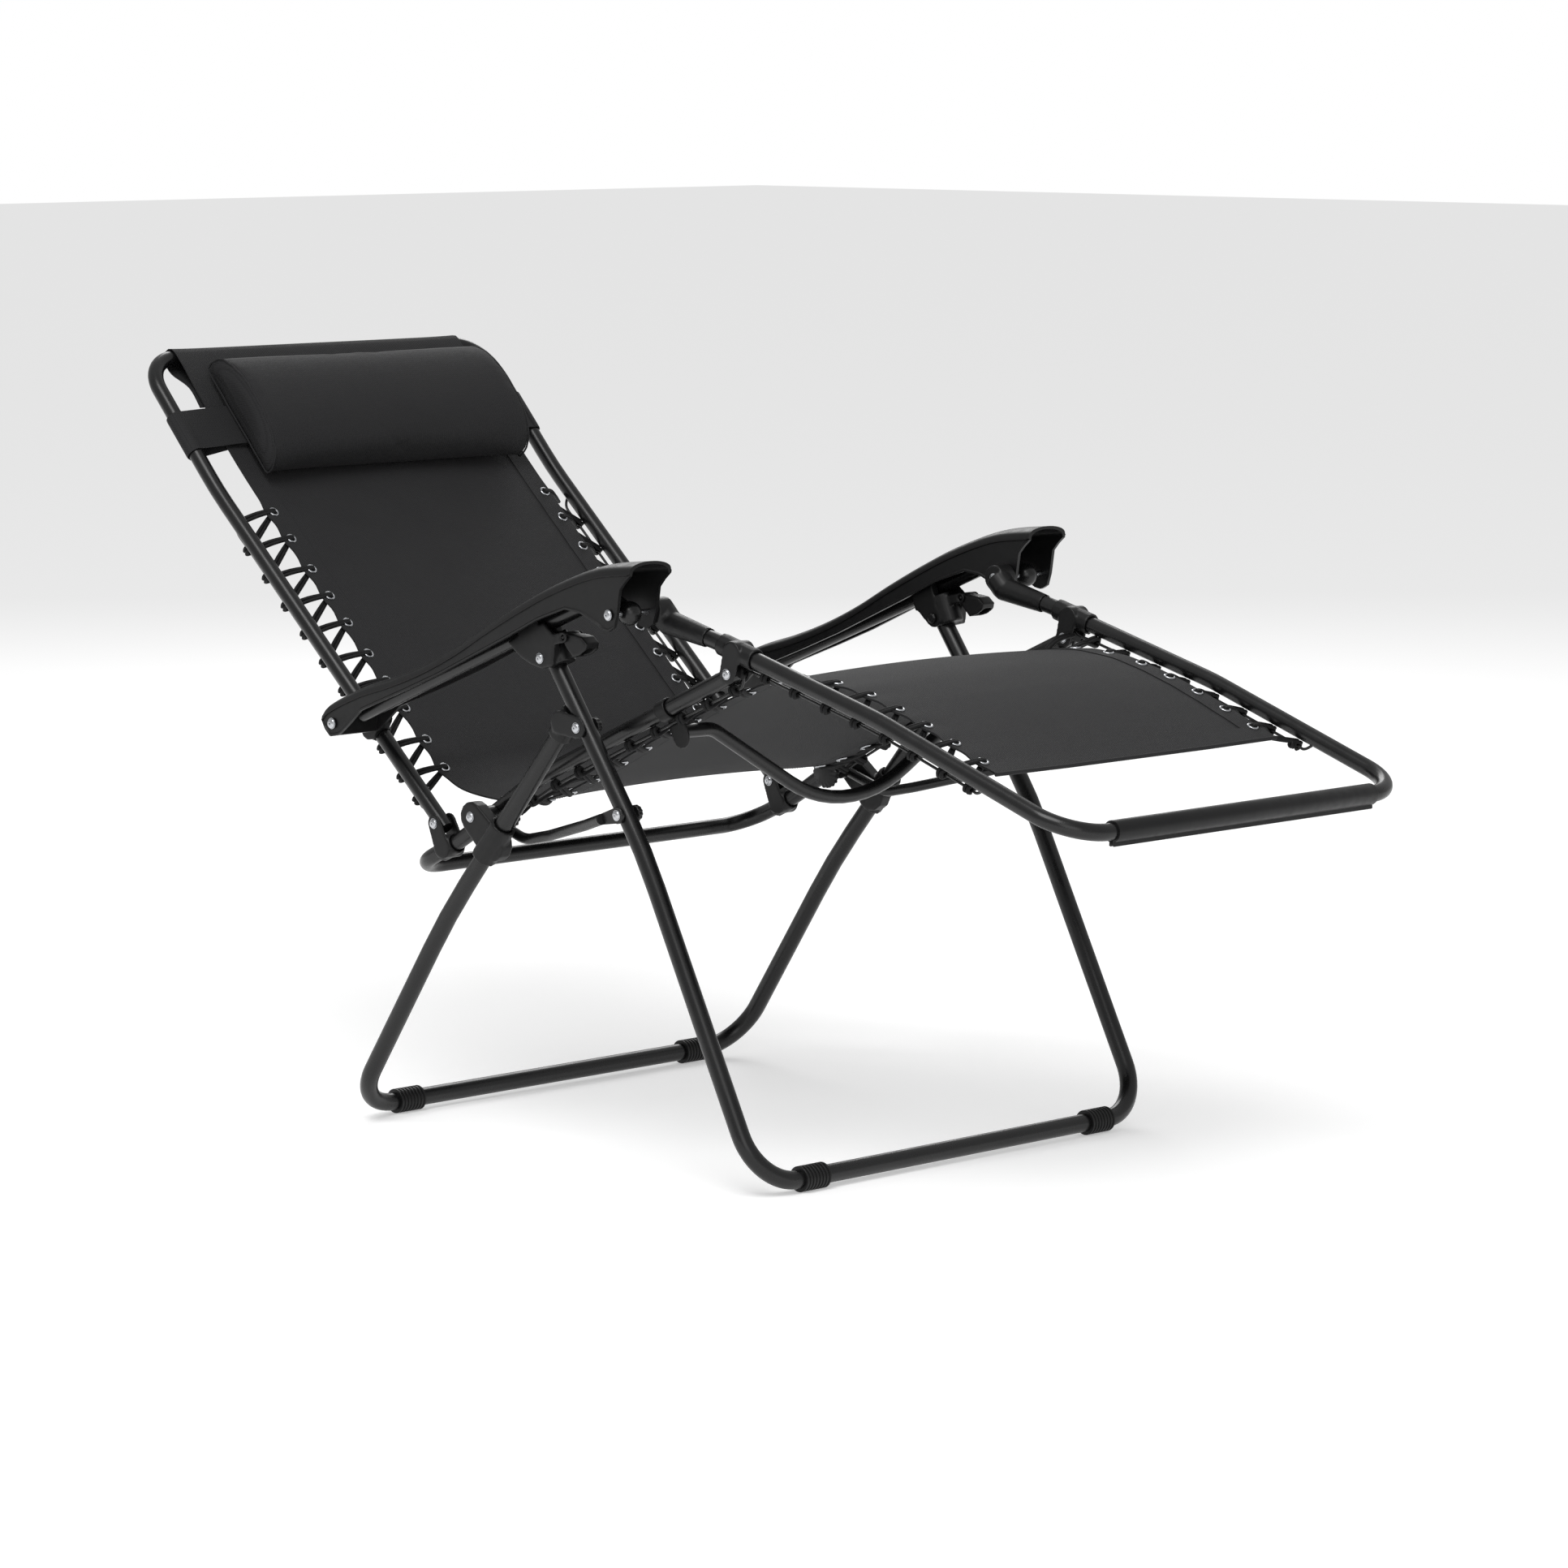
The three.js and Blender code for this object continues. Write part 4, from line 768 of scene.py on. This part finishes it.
def sheet_piece(name, rows, xs, low, high):
    """A sheet of sling cloth over those rows, between two heights."""
    build = Build()
    rings = []
    for i in rows:
        wide = half_width(i)
        across = [max(-wide, min(wide, x)) for x in xs]
        rings.append([surface(i, x, high) for x in across]
                     + [surface(i, x, low) for x in reversed(across)])
        build.uvs += [(x * MM, ROWS[i][0] * MM) for x in [*across, *reversed(across)]]
    build.rings(rings)
    return make(name, build, MESH, None, sharp=50, merge=False)


def stitches(name, lines, spacing=4.0, length=2.9):
    """Rows of short threads; each line is a list of (point, lift direction)."""
    build = Build()
    for line in lines:
        run = resample([p for p, _ in line], spacing)
        ups = [up for _, up in line]
        for n, (_, p) in enumerate(run[:-1]):
            d = (run[n + 1][1] - p).normalized()
            up = ups[min(len(ups) - 1, int(n / len(run) * len(ups)))]
            side = d.cross(up).normalized()
            rings = []
            for reach, size in ((0.0, 0.3), (0.25, 1.0), (0.75, 1.0), (1.0, 0.3)):
                c = p + d * length * reach
                rings.append([c + side * 0.45 * size, c + up * 0.42 * size,
                              c - side * 0.45 * size, c - up * 0.3 * size])
            build.rings(rings)
    return make(name, build, THREAD, None, merge=False)


SPLIT_ROW = nearest_row(at(0, (20, 405)))
UPPER_ROWS = range(0, SPLIT_ROW + 1)
LOWER_ROWS = range(SPLIT_ROW, len(ROWS))
BACK_JOIN = (at(0, (268, 391)) * MM, at(0, (206, 371)) * MM)
KNEE_JOIN = (at(0, (-206, 514)) * MM, at(0, (-246, 529)) * MM)
ACROSS = [-SLING_HALF_WIDTH - 4 + (2 * SLING_HALF_WIDTH + 8) * k / 40 for k in range(41)]
STITCH_LIFT = 0.55


def sling_line(rows, x):
    """A line of stitches along the sling."""
    return [(surface(i, x, STITCH_LIFT), row_up(i)) for i in rows]


def cross_line(i, reach):
    """A line of stitches across the sling."""
    return [(surface(i, -reach + 2 * reach * k / 60, STITCH_LIFT), row_up(i)) for k in range(61)]


HEM = 30.0
SEAM_X = SLING_HALF_WIDTH - HEM + 2


def below_wrap(rows):
    """The rows that lie clear of the sling's wrapped top."""
    return [r for r in rows if ROWS[r][0] > FLAP_LENGTH + 34]


for part, rows, bodies, join, nodes in (
        ("upper", UPPER_ROWS, ("back", "seat"), BACK_JOIN, ("back_fabric",)),
        ("lower", LOWER_ROWS, ("seat", "leg_rest"), KNEE_JOIN, ("seat_fabric", "leg_rest_fabric"))):
    sling = sheet_piece(f"sling_{part}", rows, ACROSS, -0.5, 0.5)
    extras = []
    for side, sign in SIDES:
        strip = sorted(sign * (SLING_HALF_WIDTH - HEM * (1 - k / 4)) for k in range(5))
        extras.append(sheet_piece(f"side_hem_{part}_{side}", below_wrap(rows), strip, -1.5, -0.6))
    seams = [sling_line(below_wrap(rows), sign * SEAM_X) for _, sign in SIDES]
    if part == "upper":
        flap_row = min(rows, key=lambda r: abs(ROWS[r][0] - FLAP_LENGTH - 108))
        seams += [cross_line(flap_row, 216), cross_line(flap_row - 1, 216)]
    else:
        seams += [cross_line(len(ROWS) - back, 217) for back in (6, 5, 2)]
        end_hem = sheet_piece("end_hem", range(len(ROWS) - 6, len(ROWS)), ACROSS, -1.6, -0.6)
        fold = [surface(len(ROWS) - 1, x, -0.6) for x in (-220, -110, 0, 110, 220)]
        extras += [end_hem, make("end_hem_fold", Build().tube(fold, 2.2, 14), MESH)]
    extras.append(stitches(f"sling_seams_{part}", seams))
    for piece in (sling, *extras):
        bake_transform(piece)
    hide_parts(*nodes)


# ------------------------------------------------------------------ eyelets and elastic lacing
RAIL_R = 1.6
RAIL_X = FRAME_X - 5.0
RAIL_DROP = 15.0


def tube_frame(route, p):
    """Foot on the nearest straight run of the tube, with its direction and upward normal."""
    def off(pair):
        mid = ((pair[0][0] + pair[1][0]) / 2, (pair[0][1] + pair[1][1]) / 2)
        return math.dist(p, mid) - math.dist(*pair) / 2
    a, b = min(zip(route, route[1:]), key=off)
    foot = foot_on(a, b, p)
    t = Vector((0, b[0] - a[0], b[1] - a[1])).normalized()
    up = Vector((0, -t.z, t.y))
    if up.z < 0:
        up = -up
    return at(0, foot), t, up


def lacing(name, side, sign, route, eyelets, body, wrap_at):
    """Eyelets, a doubled cord through them, and the wire rail that the cord hooks on.

    wrap_at says how far from one eyelet to the next the cord goes round the rail.
    """
    eye_rings, cord, wire = Build(), Build(), Build()
    frames = []
    for eye in eyelets:
        i = nearest_row(at(0, eye))
        up = row_up(i)
        centre = surface(i, sign * EYELET_X)
        frames.append((centre, up, *tube_frame(route, eye)))
        for lift, major in ((0.9, 5.7), (-1.9, 5.4)):
            eye_rings.torus(centre + up * lift, up, major, 1.35, 28, 10)
        eye_rings.lathe([(4.5, -1.9), (4.9, -1.9), (4.9, 0.9), (4.5, 0.9), (4.5, -1.9)], centre, up, 28)
    rail = []
    for k in range(len(frames)):
        foot, t, tube_up = frames[k][2:]
        if k + 1 < len(frames):
            p = foot.lerp(frames[k + 1][2], wrap_at)
        else:
            p = foot + (foot - frames[k - 1][2]).normalized() * 26
        rail.append((Vector((sign * RAIL_X, p.y, p.z)) - tube_up * RAIL_DROP, t, tube_up))
    inward = Vector((-sign, 0, 0))
    for offset in (-CORD_R - 0.3, CORD_R + 0.3):
        points = []
        for k, (centre, up, *_) in enumerate(frames):
            r_point, r_t, r_up = rail[k]
            run = (r_point - centre).normalized()
            slide = r_t * offset
            if k == 0:
                start = rail[0][0] - r_t * (r_t.dot(rail[0][0] - centre)) * 1.2 + inward * 3
                points += [start - r_up * 2 + slide, start.lerp(centre, 0.55) - up * 5 + slide * 0.8]
            points += [centre - up * 3.4 + slide * 0.45 - inward * 0.6,
                       centre + slide * 0.45 + inward * 0.6,
                       centre + up * 3.2 + run * 4.5 + slide * 0.6,
                       centre.lerp(r_point, 0.45) + up * 2.6 + slide]
            for angle in (100, 30, -40, -110):
                w = math.radians(angle)
                around = Vector((sign, 0, 0)) * math.cos(w) + r_up * math.sin(w)
                points.append(r_point + around * (RAIL_R + CORD_R + 0.4) + slide)
            if k + 1 < len(frames):
                ahead, ahead_up = frames[k + 1][:2]
                points.append(r_point.lerp(ahead, 0.5) - ahead_up * 3.2 + slide * 0.8)
        cord.tube(smooth_line(points, 4), CORD_R, 10)
    p, t, up = rail[-1]
    knot = p + inward * 7 + up * 1.0
    cord.torus(knot, t + inward, 3.4, 1.7, 14, 8)
    cord.torus(knot, t - inward, 3.0, 1.7, 14, 8)
    line = [p for p, _, _ in rail]
    head = line[0] + (line[0] - line[1]).normalized() * 26
    tail = line[-1] + (line[-1] - line[-2]).normalized() * 12
    lift_head = frames[0][4] * (RAIL_DROP - 6) + Vector((sign * 1.5, 0, 0))
    lift_tail = frames[-1][4] * (RAIL_DROP - 6) + Vector((sign * 1.5, 0, 0))
    start = head + (head - line[0]).normalized() * 9 + lift_head
    stop = tail + (tail - line[-1]).normalized() * 9 + lift_tail
    wire.tube(smooth_line([start, head, *line, tail, stop], 5), RAIL_R, 12)
    laces = make(f"{name}_elastic_{side}", cord, CORD, body, merge=False)
    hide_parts(f"{name}_{side}")
    rings = make(f"{name}_eyelets_{side}", eye_rings, CHROME, body, merge=False)
    rail_wire = make(f"{name}_rail_{side}", wire, STEEL, body)


for side, sign in SIDES:
    lacing("back_lacing", side, sign, BACK_TUBE, BACK_EYELETS[::-1], "back", 0.8)
    lacing("seat_lacing", side, sign, SEAT_TUBE[:3], SEAT_EYELETS, "seat", 0.6)
    lacing("leg_rest_lacing", side, sign, LEG_REST_TUBE, LEG_EYELETS, "leg_rest", 0.7)


# ------------------------------------------------------------------ headrest pillow
HEAD_ORIGIN = (650, 755)
HEAD_HALF, HEAD_WIDTH = 84.0, 200.0


def head_point(x, s, n):
    """s runs up the back, n away from it, from the middle of the headrest."""
    return at(x, HEAD_ORIGIN) + back_dir * s + back_up * n


def pillow_outline(steps=48, inset=0.0):
    """Side view of the pillow: flat against the sling, round in front, narrow at both edges."""
    points = []
    for k in range(steps):
        w = 2 * math.pi * k / steps
        c, d = math.cos(w), math.sin(w)
        s = (HEAD_HALF - inset) * math.copysign(abs(c) ** 0.9, c)
        n = 14 + (47 - inset) * d ** 0.82 if d > 0 else 14 - 6 * abs(d) ** 0.4
        points.append((s, n))
    return points


CLOTH_FRAMES = 20
PILLOW_MOVE = 0.005  # metres; how far the cloth may leave the modelled shape


def build_pillow():
    """The bolster: a closed skin, puffed up by cloth pressure and kept close to its shape."""
    spans = 26
    rings = []
    for k in range(spans + 1):
        x = -HEAD_WIDTH + 2 * HEAD_WIDTH * k / spans
        from_end = HEAD_WIDTH - abs(x)
        inset = 3.0 if from_end > 1 else 3.6
        rings.append([head_point(x, s, n) for s, n in pillow_outline(inset=inset)])
    piece = make("headrest_pillow_cover", Build().rings(rings), PILLOW_CLOTH, merge=False)
    remesh = piece.modifiers.new("remesh", "REMESH")
    remesh.mode = "VOXEL"
    remesh.voxel_size = 0.0045
    apply_modifiers(piece)
    before = [v.co.copy() for v in piece.data.vertices]
    scene = bpy.context.scene
    cloth = piece.modifiers.new("cloth", "CLOTH")
    settings = cloth.settings
    settings.use_pressure = True
    settings.uniform_pressure_force = 3.0
    settings.effector_weights.gravity = 0.0
    settings.quality = 6
    settings.tension_stiffness = 22.0
    settings.compression_stiffness = 22.0
    settings.bending_stiffness = 1.5
    cloth.point_cache.frame_start = 1
    cloth.point_cache.frame_end = CLOTH_FRAMES
    for step in range(1, CLOTH_FRAMES + 1):
        scene.frame_set(step)
    apply_modifiers(piece)
    scene.frame_set(1)
    back_plane = head_point(0, 0, 7.5) * MM
    for vertex, old in zip(piece.data.vertices, before):
        move = vertex.co - old
        if move.length > PILLOW_MOVE:
            vertex.co = old + move.normalized() * PILLOW_MOVE
        depth = (vertex.co - back_plane).dot(back_up)
        if depth < 0:
            vertex.co -= back_up * depth
    smooth = piece.modifiers.new("smooth", "SMOOTH")
    smooth.iterations = 2
    smooth.factor = 0.5
    divide = piece.modifiers.new("divide", "SUBSURF")
    divide.levels = 1
    apply_modifiers(piece)
    piece.data.materials.clear()
    piece.data.materials.append(PILLOW_CLOTH)
    piece.data.shade_smooth()
    return piece


pillow = build_pillow()
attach(pillow, "headrest")
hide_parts("headrest_pillow")

piping = Build()
for side, sign in SIDES:
    ring = [head_point(sign * (HEAD_WIDTH - 0.5), s, n) for s, n in pillow_outline(72, 0.5)]
    ring.append(ring[0])
    cover = [v.co * 1000 for v in pillow.data.vertices
             if abs(v.co.x * 1000) > HEAD_WIDTH - 26 and v.co.x * sign > 0]
    drawn = [p.lerp(min(cover, key=lambda q: (q - p).length_squared), 0.75) for p in ring]
    piping.tube(smooth_line(drawn, 2), 1.15, 8)
piece = make("headrest_piping", piping, PILLOW_CLOTH, "headrest", merge=False)

STRAP_HALF = 27.5
STRAP_FACE = [(-STRAP_HALF, 0.35), (-STRAP_HALF + 2, 0.6), (STRAP_HALF - 2, 0.6), (STRAP_HALF, 0.35)]
STRAP_SECTION = STRAP_FACE + [(s, -thick) for s, thick in reversed(STRAP_FACE)]
strap_centre = foot_on(BACK_TUBE[1], BACK_TUBE[2], HEAD_ORIGIN)
for side, sign in SIDES:
    centre = at(sign * FRAME_X, strap_centre)
    radius = FRAME_R + 1.7
    inner = HEAD_WIDTH - 14
    offset = (centre - at(sign * FRAME_X, HEAD_ORIGIN)).dot(back_up)
    steps = 22
    loop = [(inner - FRAME_X, 9.0 - offset)]
    for k in range(steps + 1):
        w = math.radians(112 - 224 * k / steps)
        loop.append((radius * math.cos(w), radius * math.sin(w)))
    loop.append((inner - FRAME_X, 6.6 - offset))
    path = smooth_line([Vector((a, b, 0)) for a, b in loop], 3)
    rings = []
    for k, p in enumerate(path):
        a, b = neighbours(path, k)
        d = (b - a).normalized()
        normal = Vector((-d.y, d.x, 0))
        ring = []
        for s, thick in STRAP_SECTION:
            q = p + normal * thick
            ring.append(centre + Vector((sign * q.x, 0, 0)) + back_up * q.y + back_dir * s)
        rings.append(ring)
    piece = make(f"headrest_strap_{side}", Build().rings(rings), PILLOW_CLOTH, "headrest",
                 sharp=50, merge=False)


# ------------------------------------------------------------------ floor, light and camera
# Distances are in metres here, angles in degrees; the lens and sensor are in millimetres.
FLOOR_HALF = 30
FLOOR_GLOW, SKY_LIGHT, SEEN_SKY = 0.36, 0.52, 1.0
CAMERA_PLACE = (-4.4797, -4.4938 + CENTRE_Y * MM, 1.1993)
CAMERA_DOWN, CAMERA_TURN = 7.3415, -45.2534
CAMERA_LENS, CAMERA_SENSOR = 132.3, 36.0


def studio():
    """Floor, lights and camera.

    The sky lights the chair softly and is seen as white.  The far floor comes out light grey
    against it, with a visible edge.
    """
    scene = bpy.context.scene
    mesh = bpy.data.meshes.new("floor")
    mesh.from_pydata([(x * FLOOR_HALF, y * FLOOR_HALF, 0)
                      for x, y in ((-1, -1), (1, -1), (1, 1), (-1, 1))], [], [(0, 1, 2, 3)])
    floor = bpy.data.objects.new("floor", mesh)
    scene.collection.objects.link(floor)
    paper = Shader("pale_floor", Roughness=0.9)
    paper.bsdf.inputs["Base Color"].default_value = (0.8, 0.8, 0.8, 1)
    paper.bsdf.inputs["Specular IOR Level"].default_value = 0.0
    paper.bsdf.inputs["Emission Color"].default_value = (1, 1, 1, 1)
    paper.bsdf.inputs["Emission Strength"].default_value = FLOOR_GLOW
    mesh.materials.append(paper.material)
    world = bpy.data.worlds.new("studio")
    scene.world = world
    world.use_nodes = True
    sky = world.node_tree.nodes["Background"]
    sky.inputs["Color"].default_value = (1, 1, 1, 1)
    sky.inputs["Strength"].default_value = SKY_LIGHT
    white = world.node_tree.nodes.new("ShaderNodeBackground")
    white.inputs["Color"].default_value = (1, 1, 1, 1)
    white.inputs["Strength"].default_value = SEEN_SKY
    seen = world.node_tree.nodes.new("ShaderNodeLightPath")
    mix = world.node_tree.nodes.new("ShaderNodeMixShader")
    links = world.node_tree.links
    links.new(seen.outputs["Is Camera Ray"], mix.inputs[0])
    links.new(sky.outputs[0], mix.inputs[1])
    links.new(white.outputs[0], mix.inputs[2])
    links.new(mix.outputs[0], world.node_tree.nodes["World Output"].inputs["Surface"])
    scene.view_settings.view_transform = "Standard"
    for name, place, aim, size, power in (
            ("key", (-2.4, -1.2, 4.2), (0, 0, 0.4), 2.6, 125.0),
            ("fill", (-3.2, -4.4, 2.0), (0, 0, 0.5), 3.0, 40.0),
            ("rim", (2.8, 3.0, 3.2), (0, 0, 0.5), 2.4, 60.0)):
        data = bpy.data.lights.new(name, "AREA")
        data.size = size
        data.energy = power
        light = bpy.data.objects.new(name, data)
        light.location = place
        light.rotation_euler = (Vector(aim) - Vector(place)).to_track_quat("-Z", "Y").to_euler()
        scene.collection.objects.link(light)
    data = bpy.data.cameras.new("camera")
    data.lens = CAMERA_LENS
    data.sensor_width = CAMERA_SENSOR
    data.clip_end = 200
    camera = bpy.data.objects.new("camera", data)
    camera.location = CAMERA_PLACE
    camera.rotation_euler = (math.radians(90 - CAMERA_DOWN), 0, math.radians(CAMERA_TURN))
    scene.collection.objects.link(camera)
    scene.camera = camera


studio()
